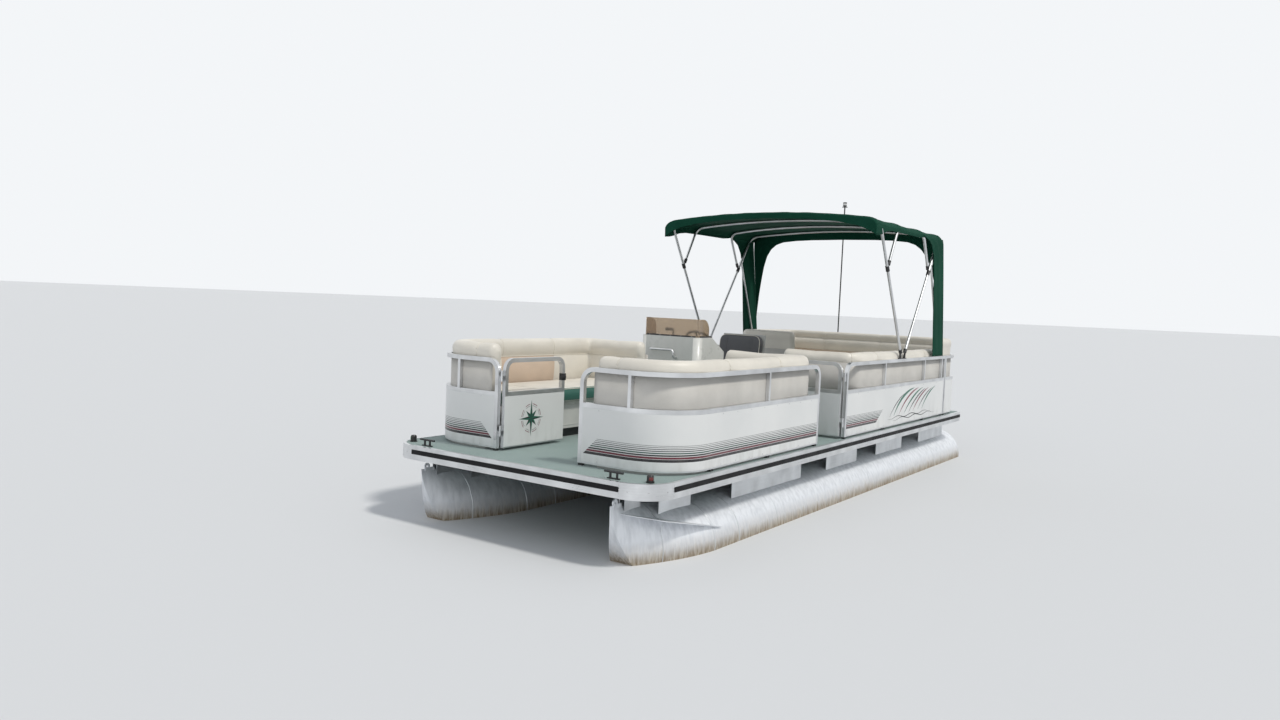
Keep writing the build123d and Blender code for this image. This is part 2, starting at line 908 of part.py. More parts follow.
# Panels: sheets on the outer face of the lower rails, between the posts
panel_high = mid_rail_top - rail_size - seat_clearance
post_gap = rail_size + seat_clearance
with BuildPart() as fence_panels:
    bow_panel = bow_strip(0, panel_thickness, bow_gate_half + post_gap, bow_fence_end - post_gap)
    slab(bow_panel, panel_bottom, panel_high)
    slab(bow_panel.mirror(Plane.XZ), panel_bottom, panel_high)
    port_panel = straight_strip(0, panel_thickness, aft_fence_start + post_gap, section_joint - post_gap)
    slab(port_panel, panel_bottom, panel_high)
    starboard_panel = straight_strip(0, panel_thickness, starboard_aft_start + post_gap, section_joint - post_gap)
    slab(starboard_panel.mirror(Plane.XZ), panel_bottom, panel_high)
    slab(stern_strip(0, panel_thickness, stern_section + post_gap), panel_bottom, panel_high)
fence_panels.part.label = "fence_panels"
export_step(fence_panels.part, "parts/fence_panels.step")

# Feet: spacers that carry the bottom rails clear of the deck
with BuildPart() as fence_feet:
    for side in (1, -1):
        aft_start = aft_fence_start if side > 0 else starboard_aft_start
        for station in (*foot_stations, aft_start + 10):
            plan_box(
                station, station + foot_length,
                side * (fence_side - rail_size + 2), side * (fence_side - 5), 0, fence_foot,
            )
        plan_box(
            fence_front + 5, fence_front + rail_size - 2,
            side * (bow_gate_half + 2), side * (bow_gate_half + foot_length), 0, fence_foot,
        )
        plan_box(
            fence_stern - rail_size + 2, fence_stern - 5,
            side * stern_foot_y, side * (stern_foot_y + foot_length), 0, fence_foot,
        )
fence_feet.part.label = "fence_feet"
export_step(fence_feet.part, "parts/fence_feet.step")


# Gates: tube hoops with a lower sheet, hung on lift-off hinges and standing open inboard
def gate_outline(width):
    """Gate hoop: x runs from the hinge post, y is the height above the deck."""
    with BuildSketch(mode=Mode.PRIVATE) as outline:
        with Locations((width / 2, (gate_low + rail_top) / 2)):
            Rectangle(width, rail_top - gate_low)
        fillet(outline.vertices().group_by(Axis.Y)[-1], radius=gate_bend)
        with BuildSketch(mode=Mode.PRIVATE) as opening:
            with Locations((width / 2, (mid_rail_top + rail_top - rail_size) / 2)):
                Rectangle(width - 2 * rail_size, rail_top - rail_size - mid_rail_top)
            fillet(opening.vertices().group_by(Axis.Y)[-1], radius=gate_bend - rail_size)
        add(opening.sketch, mode=Mode.SUBTRACT)
        with Locations((width / 2, (gate_low + mid_rail_top) / 2)):
            Rectangle(width - 2 * rail_size, mid_rail_top - gate_low - 2 * rail_size, mode=Mode.SUBTRACT)
    return outline.sketch


def gate_area(width, low, high, over=0):
    """Rectangle over the gate's whole width, between two heights, let past its edges by a margin."""
    with BuildSketch(mode=Mode.PRIVATE) as area:
        with Locations((width / 2, (low + high) / 2)):
            Rectangle(width + 2 * over, high - low)
    return area.sketch


def gate_frame(gate_plane, sheet_plane, width):
    """Gate hoop, set in by the sheet's thickness where the sheet covers its legs and its bottom rail."""
    extrude(to_extrude=gate_plane * gate_outline(width), amount=rail_size / 2, both=True)
    recess = gate_area(width, gate_low - gate_margin, panel_high + seat_clearance, gate_margin)
    extrude(to_extrude=sheet_plane * recess, amount=panel_thickness, mode=Mode.SUBTRACT)


# Both gates stand open: the bow gate runs aft from its hinge, the port gate runs inboard
bow_gate_plane = Plane(
    origin=(bow_hinge_x - hinge_from_gate, bow_hinge_y, deck_top), x_dir=(-1, 0, 0), z_dir=(0, 1, 0)
)
port_gate_plane = Plane(
    origin=(port_hinge_x, port_hinge_y - hinge_from_gate, deck_top), x_dir=(0, -1, 0), z_dir=(-1, 0, 0)
)
# Each sheet is on the face that looks outboard when its gate is shut
bow_sheet_plane = bow_gate_plane.offset(rail_size / 2 - panel_thickness)
port_sheet_plane = port_gate_plane.offset(-rail_size / 2)

with BuildPart() as gate_bow_frame:
    gate_frame(bow_gate_plane, bow_sheet_plane, bow_gate_width)
    hinge_upper(bow_hinge_x, bow_hinge_y)
    leaf_middle = (hinge_radius - 2 + hinge_from_gate) / 2
    hinge_leaf(bow_hinge_x - leaf_middle, bow_hinge_y, hinge_from_gate - hinge_radius + 4, 4, upper=True)
gate_bow_frame.part.label = "gate_bow_frame"
export_step(gate_bow_frame.part, "parts/gate_bow_frame.step")

with BuildPart() as gate_bow_panel:
    bow_sheet = gate_area(bow_gate_width, panel_bottom, panel_high)
    extrude(to_extrude=bow_sheet_plane * bow_sheet, amount=panel_thickness)
gate_bow_panel.part.label = "gate_bow_panel"
export_step(gate_bow_panel.part, "parts/gate_bow_panel.step")

with BuildPart() as gate_port_frame:
    gate_frame(port_gate_plane, port_sheet_plane, port_gate_width)
    hinge_upper(port_hinge_x, port_hinge_y)
    hinge_leaf(port_hinge_x, port_hinge_y - leaf_middle, 4, hinge_from_gate - hinge_radius + 4, upper=True)
gate_port_frame.part.label = "gate_port_frame"
export_step(gate_port_frame.part, "parts/gate_port_frame.step")

with BuildPart() as gate_port_panel:
    port_sheet = gate_area(port_gate_width, panel_bottom, panel_high)
    extrude(to_extrude=port_sheet_plane * port_sheet, amount=panel_thickness)
gate_port_panel.part.label = "gate_port_panel"
export_step(gate_port_panel.part, "parts/gate_port_panel.step")


# Seats: tub bases on the deck, cushions on them, backrests along the fences
def bow_area(offset, inner_y, end):
    """Plan area of a bow lounge, rounded like the fence's corner."""
    front = fence_front + offset
    outer = fence_side - offset
    with BuildSketch(mode=Mode.PRIVATE) as area:
        with Locations((aft((front + end) / 2), (inner_y + outer) / 2)):
            Rectangle(end - front, outer - inner_y)
        corner = area.vertices().group_by(Axis.X)[-1].sort_by(Axis.Y)[-1]
        fillet(corner, radius=fence_corner_radius - offset)
    return area.sketch


def stern_area(offset, inner_y, port_start, starboard_start, bench_start):
    """Plan area of the aft lounges and the stern bench, rounded like the fence's corners."""
    stern = fence_stern - offset
    outer = fence_side - offset
    with BuildSketch(mode=Mode.PRIVATE) as area:
        with Locations((aft((port_start + stern) / 2), (inner_y + outer) / 2)):
            Rectangle(stern - port_start, outer - inner_y)
        with Locations((aft((starboard_start + stern) / 2), -(inner_y + outer) / 2)):
            Rectangle(stern - starboard_start, outer - inner_y)
        with Locations((aft((bench_start + stern) / 2), 0)):
            Rectangle(stern - bench_start, 2 * outer)
        fillet(area.vertices().group_by(Axis.X)[0], radius=stern_fence_radius - offset)
    return area.sketch


seat_back_outer = rail_size + seat_clearance
seat_back_inner = seat_back_outer + back_thickness
cushion_offset = seat_back_inner + seat_gap
base_inner_y = seat_inner + base_inset
bench_start = fence_stern - stern_bench_depth


def bow_base(end):
    """Tub under a bow lounge, open at the top, with a recess for the feet."""
    with BuildPart() as base:
        slab(bow_area(seat_back_outer, base_inner_y, end - base_inset), base_kick_height, base_height)
        slab(bow_area(seat_back_outer, base_inner_y + base_kick, end - base_inset - base_kick), 0, base_kick_height)
        slab(
            bow_area(seat_back_outer + back_thickness, base_inner_y + base_wall, end - base_inset - back_thickness),
            base_kick_height + base_wall, base_height + 1, mode=Mode.SUBTRACT,
        )
    return base.part


seat_base_bow_port = bow_base(bow_port_end)
seat_base_bow_port.label = "seat_base_bow_port"
export_step(seat_base_bow_port, "parts/seat_base_bow_port.step")

starboard_base = bow_base(bow_starboard_end)
with BuildPart() as seat_base_bow_starboard:
    mirror(starboard_base, about=Plane.XZ)
seat_base_bow_starboard.part.label = "seat_base_bow_starboard"
export_step(seat_base_bow_starboard.part, "parts/seat_base_bow_starboard.step")

with BuildPart() as seat_base_aft:
    slab(
        stern_area(
            seat_back_outer, base_inner_y, aft_lounge_start + base_inset,
            starboard_lounge_start + base_inset, bench_start + base_inset,
        ),
        base_kick_height, base_height,
    )
    slab(
        stern_area(
            seat_back_outer, base_inner_y + base_kick, aft_lounge_start + base_inset + base_kick,
            starboard_lounge_start + base_inset + base_kick, bench_start + base_inset + base_kick,
        ),
        0, base_kick_height,
    )
    slab(
        stern_area(
            seat_back_inner, base_inner_y + base_wall, aft_lounge_start + back_thickness + base_inset,
            starboard_lounge_start + back_thickness + base_inset, bench_start + base_inset + base_wall,
        ),
        base_kick_height + base_wall, base_height + 1, mode=Mode.SUBTRACT,
    )
seat_base_aft.part.label = "seat_base_aft"
export_step(seat_base_aft.part, "parts/seat_base_aft.step")


def seat_lid(start, end):
    """Hinged port seat cushion on its board: its rear top edge is the hinge."""
    with BuildPart() as lid:
        rear = fence_side - seat_back_inner - lid_hinge_gap
        plan_box(start, end, seat_inner, rear, base_height + seat_clearance, cushion_height)
        fillet(lid.edges().group_by(Axis.Z)[-1], radius=cushion_round)
    return lid.part


seat_lid_bow_port = seat_lid(lid_front, bow_port_end - back_thickness - lid_hinge_gap)
seat_lid_bow_port.label = "seat_lid_bow_port"
export_step(seat_lid_bow_port, "parts/seat_lid_bow_port.step")

starboard_lid = seat_lid(lid_front, bow_starboard_end - back_thickness - lid_hinge_gap)
with BuildPart() as seat_lid_bow_starboard:
    mirror(starboard_lid, about=Plane.XZ)
seat_lid_bow_starboard.part.label = "seat_lid_bow_starboard"
export_step(seat_lid_bow_starboard.part, "parts/seat_lid_bow_starboard.step")

seat_lid_aft_port = seat_lid(aft_lounge_start + back_thickness + lid_hinge_gap, aft_lid_end)
seat_lid_aft_port.label = "seat_lid_aft_port"
export_step(seat_lid_aft_port, "parts/seat_lid_aft_port.step")

with BuildPart() as seat_cushions_fixed:
    corner_cushion = bow_area(cushion_offset, seat_inner, lid_front - lid_hinge_gap)
    slab(corner_cushion, base_height + seat_clearance, cushion_height)
    slab(corner_cushion.mirror(Plane.XZ), base_height + seat_clearance, cushion_height)
    slab(
        stern_area(
            cushion_offset, seat_inner, aft_lid_end + lid_hinge_gap,
            starboard_lounge_start + back_thickness + seat_gap, bench_start,
        ),
        base_height + seat_clearance, cushion_height,
    )
    fillet(seat_cushions_fixed.edges().group_by(Axis.Z)[-1], radius=cushion_round)
seat_cushions_fixed.part.label = "seat_cushions_fixed"
export_step(seat_cushions_fixed.part, "parts/seat_cushions_fixed.step")


def turned_back(start, inner_y, outer_y):
    """Plan area of the piece of a backrest that turns inboard across the seat's end."""
    with BuildSketch(mode=Mode.PRIVATE) as piece:
        with Locations((aft(start + back_thickness / 2), (inner_y + outer_y) / 2)):
            Rectangle(back_thickness, abs(outer_y - inner_y))
    return piece.sketch


def bow_backrest(end, turn_inner, top):
    with BuildPart() as back:
        low = base_height + seat_clearance
        slab(bow_strip(seat_back_outer, seat_back_inner, bow_back_start, end), low, top)
        slab(turned_back(end - back_thickness, turn_inner, fence_side - seat_back_outer), low, top)
        fillet(back.edges().group_by(Axis.Z)[-1], radius=back_round)
    return back.part


backrest_bow_port = bow_backrest(bow_port_end, port_turn_inner, port_back_top)
backrest_bow_port.label = "backrest_bow_port"
export_step(backrest_bow_port, "parts/backrest_bow_port.step")

starboard_back = bow_backrest(bow_starboard_end, starboard_turn_inner, starboard_back_top)
with BuildPart() as backrest_bow_starboard:
    mirror(starboard_back, about=Plane.XZ)
backrest_bow_starboard.part.label = "backrest_bow_starboard"
export_step(backrest_bow_starboard.part, "parts/backrest_bow_starboard.step")

with BuildPart() as backrest_aft_port:
    back_low = base_height + seat_clearance
    slab(straight_strip(seat_back_outer, seat_back_inner, aft_lounge_start, aft_back_end), back_low, port_back_top)
    slab(turned_back(aft_lounge_start, aft_turn_inner, fence_side - seat_back_outer), back_low, port_back_top)
    fillet(backrest_aft_port.edges().group_by(Axis.Z)[-1], radius=back_round)
backrest_aft_port.part.label = "backrest_aft_port"
export_step(backrest_aft_port.part, "parts/backrest_aft_port.step")

with BuildPart() as backrest_stern:
    slab(stern_strip(seat_back_outer, seat_back_inner, aft_back_end + seat_gap), back_low, stern_back_top)
    starboard_run = straight_strip(
        seat_back_outer, seat_back_inner, starboard_lounge_start, aft_back_end + seat_gap + 1
    )
    slab(starboard_run.mirror(Plane.XZ), back_low, stern_back_top)
    slab(
        turned_back(starboard_lounge_start, -seat_inner, seat_back_outer - fence_side),
        back_low, stern_back_top,
    )
    fillet(backrest_stern.edges().group_by(Axis.Z)[-1], radius=back_round)
backrest_stern.part.label = "backrest_stern"
export_step(backrest_stern.part, "parts/backrest_stern.step")


# Helm console: a hollow stand with a sloped dash
def console_profile(inset):
    """Side outline of the console, drawn in from its faces, open below."""
    front = aft(console_front + inset)
    back = aft(console_front + console_depth - inset)
    dash = aft(console_front + console_dash_start)
    low = 0 if inset == 0 else -1
    with BuildSketch(Plane.XZ.offset(console_inner + inset), mode=Mode.PRIVATE) as outline:
        with BuildLine():
            Polyline(
                (front, above(low)),
                (front, above(console_top - inset)),
                (dash, above(console_top - inset)),
                (back, above(console_dash_low - inset)),
                (back, above(low)),
                close=True,
            )
        make_face()
    return outline.sketch


def console_plan(inset):
    """Plan outline of the console, rounded at its front corners."""
    with BuildSketch(mode=Mode.PRIVATE) as outline:
        with Locations((aft(console_front + console_depth / 2), -(console_inner + console_outer) / 2)):
            Rectangle(console_depth - 2 * inset, console_outer - console_inner - 2 * inset)
        fillet(outline.vertices().group_by(Axis.X)[-1], radius=console_corner - inset)
    return outline.sketch


with BuildPart() as console_body:
    extrude(to_extrude=console_profile(0), amount=console_width)
    slab(console_plan(0), -1, console_top + 1, mode=Mode.INTERSECT)
    extrude(to_extrude=console_profile(console_wall), amount=console_width - 2 * console_wall, mode=Mode.SUBTRACT)
    # The steering column's housing stands on the dash
    column_plane = Plane(
        origin=(aft(console_front + column_depth), helm_y, above(column_height)),
        z_dir=(-sin(radians(dash_angle)), 0, cos(radians(dash_angle))),
    )
    with BuildSketch(column_plane.offset(-housing_root)):
        Circle(housing_radius)
        Circle(spindle_radius + seat_clearance, mode=Mode.SUBTRACT)
    extrude(amount=housing_root + wheel_standoff - wheel_hub_depth - housing_gap)
console_body.part.label = "console_body"
export_step(console_body.part, "parts/console_body.step")

with BuildPart() as windscreen:
    slab(console_plan(screen_inset), console_top + seat_clearance, screen_top)
    slab(console_plan(screen_inset + screen_thickness), console_top - 1, screen_top + 1, mode=Mode.SUBTRACT)
    # Its side returns end in a rounded upper corner
    corner_x = aft(console_front + screen_return - screen_corner)
    with BuildSketch(Plane.XZ.offset(console_inner)):
        with BuildLine():
            CenterArc((corner_x, above(screen_top - screen_corner)), screen_corner, 90, 90)
            Polyline(
                (corner_x - screen_corner, above(screen_top - screen_corner)),
                (corner_x - screen_corner, above(console_top)),
                (aft(console_front + console_depth), above(console_top)),
                (aft(console_front + console_depth), above(screen_top)),
                (corner_x, above(screen_top)),
            )
        make_face()
    extrude(amount=console_width, mode=Mode.SUBTRACT)
windscreen.part.label = "windscreen"
export_step(windscreen.part, "parts/windscreen.step")

# Grab rail on the console's front: its inboard end bends down before it turns back
with BuildPart() as console_rail:
    rail_root = aft(console_front - seat_clearance)
    rail_face = aft(console_front - rail_grip_reach)
    rail_outboard = helm_y - rail_grip_outboard
    rail_inboard = helm_y + rail_grip_inboard
    rail_low = above(rail_grip_height - rail_grip_drop)
    with BuildLine() as grip:
        FilletPolyline(
            (rail_root, rail_outboard, above(rail_grip_height)),
            (rail_face, rail_outboard, above(rail_grip_height)),
            (rail_face, rail_inboard, above(rail_grip_height)),
            (rail_face, rail_inboard, rail_low),
            (rail_root, rail_inboard, rail_low),
            radius=rail_grip_bend,
        )
    with BuildSketch(Plane(origin=grip.wire() @ 0, z_dir=grip.wire() % 0)):
        Circle(rail_grip_radius)
    sweep()
console_rail.part.label = "console_rail"
export_step(console_rail.part, "parts/console_rail.step")

# Steering wheel: rim, spokes and hub, with its spindle in the column
wheel_plane = column_plane.offset(wheel_standoff)
with BuildPart() as steering_wheel:
    with BuildSketch(Plane(origin=wheel_plane.origin + wheel_plane.x_dir * wheel_rim_radius, z_dir=wheel_plane.y_dir)):
        Circle(wheel_tube_radius)
    revolve(axis=Axis(wheel_plane.origin, wheel_plane.z_dir))
    with BuildSketch(wheel_plane.offset(-wheel_hub_depth)):
        Circle(wheel_hub_radius)
    extrude(amount=wheel_hub_depth)
    with BuildSketch(wheel_plane.offset(-spindle_reach)):
        Circle(spindle_radius)
    extrude(amount=spindle_reach - wheel_hub_depth / 2)
    with BuildSketch(wheel_plane.offset(-wheel_spoke_drop)):
        with PolarLocations(wheel_rim_radius / 2 + wheel_tube_radius / 2, wheel_spokes):
            Rectangle(wheel_rim_radius - wheel_tube_radius, wheel_spoke_width)
    extrude(amount=wheel_spoke_thickness)
steering_wheel.part.label = "steering_wheel"
export_step(steering_wheel.part, "parts/steering_wheel.step")

# Helm chair: pedestal, swivelling shell and padded cushion
with BuildPart() as helm_pedestal:
    with BuildSketch(Plane.XY.offset(above(0))):
        with Locations((aft(chair_station), helm_y)):
            Circle(pedestal_base_radius)
    extrude(amount=pedestal_plate)
    with BuildSketch(Plane.XY.offset(above(0))):
        with Locations((aft(chair_station), helm_y)):
            Circle(pedestal_radius)
    extrude(amount=pedestal_height)
    with BuildSketch(Plane.XY.offset(above(0))):
        with Locations((aft(chair_station), helm_y)):
            Circle(pedestal_radius / 2)
    extrude(amount=pedestal_height + spindle_height)
helm_pedestal.part.label = "helm_pedestal"
export_step(helm_pedestal.part, "parts/helm_pedestal.step")


def chair_outline(points, round_radius):
    """Side outline of a chair piece, from stations and heights round its middle."""
    with BuildSketch(Plane.XZ.offset(-helm_y - chair_width / 2), mode=Mode.PRIVATE) as outline:
        with BuildLine():
            Polyline([(aft(chair_station + station), above(height)) for station, height in points], close=True)
        make_face()
        fillet(outline.vertices(), radius=round_radius)
    return outline.sketch


chair_seat_low = pedestal_height + seat_clearance
chair_seat_top = chair_seat_low + chair_tray
half_seat = chair_depth / 2
with BuildPart() as helm_chair_shell:
    extrude(
        to_extrude=chair_outline(
            (
                (-half_seat, chair_seat_low),
                (half_seat, chair_seat_low),
                (half_seat + chair_recline, chair_back_top),
                (half_seat + chair_recline - chair_shell, chair_back_top),
                (half_seat - chair_shell, chair_seat_top),
                (-half_seat, chair_seat_top),
            ),
            chair_shell_round,
        ),
        amount=chair_width,
    )
    # The pedestal's spindle turns in a bore under the seat
    with BuildSketch(Plane.XY.offset(above(pedestal_height))):
        with Locations((aft(chair_station), helm_y)):
            Circle(pedestal_radius / 2 + seat_clearance)
    extrude(amount=spindle_height + seat_clearance, mode=Mode.SUBTRACT)
helm_chair_shell.part.label = "helm_chair_shell"
export_step(helm_chair_shell.part, "parts/helm_chair_shell.step")

with BuildPart() as helm_chair_cushion:
    pad_low = chair_seat_top + seat_clearance
    pad_back = half_seat - chair_shell - chair_pad_gap
    pad_high = chair_back_top - chair_shell_round - chair_pad_gap
    pad_lean = chair_recline - chair_pad_gap
    extrude(
        to_extrude=chair_outline(
            (
                (-half_seat, pad_low),
                (pad_back, pad_low),
                (pad_back + pad_lean, pad_high),
                (pad_back + pad_lean - chair_pad, pad_high),
                (pad_back - chair_pad, pad_low + chair_pad),
                (-half_seat, pad_low + chair_pad),
            ),
            chair_pad_round,
        ),
        amount=chair_width,
    )
helm_chair_cushion.part.label = "helm_chair_cushion"
export_step(helm_chair_cushion.part, "parts/helm_chair_cushion.step")


# Bimini top: four tube bows, collars and feet, the canopy and its legs
def bow_plane(foot, foot_height, top):
    """Slanted plane of a bow: x runs to port, y up along its legs from the line of its feet."""
    rise = bimini_crown_height - foot_height
    run = foot - top
    length = hypot(rise, run)
    return Plane(
        origin=(aft(foot), 0, above(foot_height)), x_dir=(0, 1, 0), z_dir=(rise / length, 0, -run / length)
    ), length, length / rise


def bow_tube(foot, foot_height, top, start=0, grow=0, trim=None):
    """A bow of tube: two legs, two bends and a shallow crown between them."""
    plane, length, stretch = bow_plane(foot, foot_height, top)
    half = bimini_y - bimini_bend
    sag = bimini_sag * stretch
    angle = 2 * atan2(sag, half)
    end_x = half + bimini_bend * sin(angle)
    crown_radius = end_x / sin(angle)
    bend_y = length - crown_radius * (1 - cos(angle)) - bimini_bend * cos(angle)
    end_y = bend_y + bimini_bend * cos(angle)
    turn = bimini_bend * sin((pi / 2 - angle) / 2)
    lift = bimini_bend * cos((pi / 2 - angle) / 2)
    with BuildPart(mode=Mode.PRIVATE) as tube:
        with BuildLine(plane) as path:
            Line((bimini_y, start), (bimini_y, bend_y))
            ThreePointArc((bimini_y, bend_y), (half + lift, bend_y + turn), (end_x, end_y))
            ThreePointArc((end_x, end_y), (0, length), (-end_x, end_y))
            ThreePointArc((-end_x, end_y), (-half - lift, bend_y + turn), (-bimini_y, bend_y))
            Line((-bimini_y, bend_y), (-bimini_y, start))
        with BuildSketch(Plane(origin=path.wire() @ 0, z_dir=path.wire() % 0)):
            Circle(bow_tube_radius + grow)
        sweep()
    return tube.part


def sleeve(origin, direction, radius, length, bore=bow_tube_radius + seat_clearance):
    """A sleeve round a tube, and the room for the tube in it."""
    plane = Plane(origin=origin, z_dir=direction)
    ring = Solid.make_cylinder(radius, length, plane)
    room = Solid.make_cylinder(bore, length + 2 * bore_margin, plane.offset(-bore_margin))
    return ring, room


def main_bow_point(index, height):
    """Station on a main bow's leg at a height above the deck."""
    foot, top = main_bows[index]
    share = (height - bimini_foot_height) / (bimini_crown_height - bimini_foot_height)
    return foot + share * (top - foot)


with BuildPart() as bimini_main_bows:
    for foot, top in main_bows:
        add(bow_tube(foot, bimini_foot_height, top))
bimini_main_bows.part.label = "bimini_main_bows"
export_step(bimini_main_bows.part, "parts/bimini_main_bows.step")

with BuildPart() as bimini_second_bows:
    for index, height, top in second_bows:
        add(bow_tube(main_bow_point(index, height), height, top, start=second_bow_start))
bimini_second_bows.part.label = "bimini_second_bows"
export_step(bimini_second_bows.part, "parts/bimini_second_bows.step")

with BuildPart() as bimini_fittings:
    rooms = []
    for side in (1, -1):
        y = side * bimini_y
        for index, (foot, top) in enumerate(main_bows):
            leg = bow_plane(foot, bimini_foot_height, top)[0].y_dir
            socket_foot = (aft(foot), y, above(bimini_foot_height))
            ring, room = sleeve(socket_foot, leg, foot_socket_radius, foot_socket_length)
            add(ring)
            rooms.append(room)
            # Foot: a plate on the top rail and a post up to the bow's socket
            plan_box(
                foot - foot_plate_half, foot + foot_plate_half,
                y - foot_plate_width / 2, y + foot_plate_width / 2,
                rail_top + seat_clearance, rail_top + foot_plate_thickness,
            )
            plan_box(
                foot - foot_post_half, foot + foot_post_half,
                y - foot_post_width / 2, y + foot_post_width / 2,
                rail_top + foot_plate_thickness / 2, bimini_foot_height + foot_post_rise,
            )
        for index, height, top in second_bows:
            foot, main_top = main_bows[index]
            leg = bow_plane(foot, bimini_foot_height, main_top)[0].y_dir
            station = main_bow_point(index, height)
            second = bow_plane(station, height, top)[0].y_dir
            origin = Vector(aft(station), y, above(height))
            ring, room = sleeve(origin - leg * (collar_length / 2), leg, collar_radius, collar_length)
            add(ring)
            rooms.append(room)
            stub = second_bow_start - bow_stub_gap
            add(Solid.make_cylinder(bow_stub_radius, stub, Plane(origin=origin, z_dir=second)))
            socket_start = origin + second * (stub - bow_socket_back)
            add(Solid.make_cylinder(bow_socket_radius, bow_socket_length, Plane(origin=socket_start, z_dir=second)))
            socket = Plane(origin=origin + second * (second_bow_start - seat_clearance), z_dir=second)
            rooms.append(Solid.make_cylinder(bow_tube_radius + seat_clearance, 2 * bore_margin, socket))
    for room in rooms:
        add(room, mode=Mode.SUBTRACT)
bimini_fittings.part.label = "bimini_fittings"
export_step(bimini_fittings.part, "parts/bimini_fittings.step")

# Rear poles: they stand on the top rail and hold the aft bow
with BuildPart() as bimini_rear_poles:
    pole_top = main_bow_point(1, rear_pole_height)
    for side in (1, -1):
        y = side * bimini_y
        low = Vector(aft(rear_pole_foot), y, above(rail_top + foot_plate_thickness))
        high = Vector(aft(pole_top), y, above(rear_pole_height))
        direction = (high - low).normalized()
        reach = (high - low).length - bow_tube_radius - rear_pole_gap
        add(Solid.make_cylinder(rear_pole_radius, reach, Plane(origin=low, z_dir=direction)))
        plan_box(
            rear_pole_foot - foot_plate_half, rear_pole_foot + foot_plate_half,
            y - foot_plate_width / 2, y + foot_plate_width / 2,
            rail_top + seat_clearance, rail_top + rear_foot_thickness,
        )
        leg = bow_plane(main_bows[1][0], bimini_foot_height, main_bows[1][1])[0].y_dir
        ring, room = sleeve(high - leg * (rear_collar_length / 2), leg, collar_radius, rear_collar_length)
        add(ring)
        add(room, mode=Mode.SUBTRACT)
bimini_rear_poles.part.label = "bimini_rear_poles"
export_step(bimini_rear_poles.part, "parts/bimini_rear_poles.step")


def canopy_block(inset):
    """The canopy's outer or inner form: an arch with rounded sides and ends."""
    top = bimini_crown_height + bow_tube_radius + 1 + canopy_thickness - inset
    half = canopy_half_width - inset
    arch = bimini_sag * canopy_arch_share
    crown_radius = (bimini_y ** 2 + arch ** 2) / (2 * arch)
    edge = top - half ** 2 / (2 * crown_radius)
    low = canopy_skirt - 2 * canopy_round
    with BuildPart(mode=Mode.PRIVATE) as block:
        with BuildSketch(Plane.YZ.offset(aft(canopy_aft - inset))) as outline:
            with BuildLine():
                ThreePointArc((-half, above(edge)), (0, above(top)), (half, above(edge)))
                Polyline((half, above(edge)), (half, above(low)), (-half, above(low)), (-half, above(edge)))
            make_face()
            fillet(outline.vertices().group_by(Axis.Y)[-1], radius=canopy_round - inset)
        extrude(amount=canopy_aft - canopy_front - 2 * inset)
    return block.part


with BuildPart() as bimini_canopy:
    add(canopy_block(0))
    add(canopy_block(canopy_thickness), mode=Mode.SUBTRACT)
    plan_box(
        canopy_front - 5, canopy_aft + 5, -canopy_half_width - 5, canopy_half_width + 5,
        canopy_skirt - 3 * canopy_round, canopy_skirt, mode=Mode.SUBTRACT,
    )
    # The ends' skirts follow the arch
    end_half = canopy_half_width - canopy_end_trim
    with BuildSketch(Plane.YZ.offset(aft(canopy_aft + 5))):
        with BuildLine():
            ThreePointArc(
                (-end_half, above(canopy_skirt - 5)),
                (0, above(bimini_crown_height - canopy_arch_drop)),
                (end_half, above(canopy_skirt - 5)),
            )
            Line((end_half, above(canopy_skirt - 5)), (-end_half, above(canopy_skirt - 5)))
        make_face()
    extrude(amount=canopy_aft - canopy_front + 10, mode=Mode.SUBTRACT)
bimini_canopy.part.label = "bimini_canopy"
export_step(bimini_canopy.part, "parts/bimini_canopy.step")

with BuildPart() as canopy_legs:
    leg_inner = bimini_y + collar_radius + seat_clearance
    for y in (leg_inner + leg_thickness, -leg_inner):
        with BuildSketch(Plane.XZ.offset(-y)):
            with BuildLine():
                Polyline([(aft(station), above(height)) for station, height in canopy_legs_shape], close=True)
            make_face()
        extrude(amount=leg_thickness)
canopy_legs.part.label = "canopy_legs"
export_step(canopy_legs.part, "parts/canopy_legs.step")


# Outboard motor
def side_outline(points, y):
    """Outline in a fore-and-aft plane, from stations and heights."""
    with BuildSketch(Plane.XZ.offset(-y), mode=Mode.PRIVATE) as outline:
        with BuildLine():
            Polyline([(aft(station), above(height)) for station, height in points], close=True)
        make_face()
    return outline.sketch


transom_aft = pod_transom + seat_clearance
transom_fore = pod_transom - transom_thickness - seat_clearance
transom_cap = transom_top + seat_clearance
with BuildPart() as outboard_bracket:
    for side in (1, -1):
        outer = bracket_half if side > 0 else -(bracket_half - bracket_plate)
        plate = side_outline(
            (
                (transom_aft, bracket_low), (transom_aft, transom_cap), (transom_fore, transom_cap),
                (transom_fore, transom_cap - 110), (transom_fore - 14, transom_cap - 110),
                (transom_fore - 14, transom_cap + 12), (tilt_station - 47, transom_cap + 12),
                (tilt_station - 18, tilt_height + 12), (tilt_station + 18, tilt_height - 12),
                (transom_aft + 46, tilt_height - 90), (transom_aft + 30, bracket_low),
            ),
            outer,
        )
        extrude(to_extrude=plate, amount=bracket_plate)
        with BuildSketch(Plane.XZ.offset(-outer)):
            with Locations((aft(tilt_station), above(tilt_height))):
                Circle(tilt_ear_radius)
        extrude(amount=bracket_plate)
    plan_box(transom_aft, transom_aft + 10, -bracket_half, bracket_half, bracket_low, -60)
    with BuildSketch(Plane.XZ.offset(-bracket_half)):
        with Locations((aft(tilt_station), above(tilt_height))):
            Circle(tilt_tube_radius)
    extrude(amount=2 * bracket_half)
outboard_bracket.part.label = "outboard_bracket"
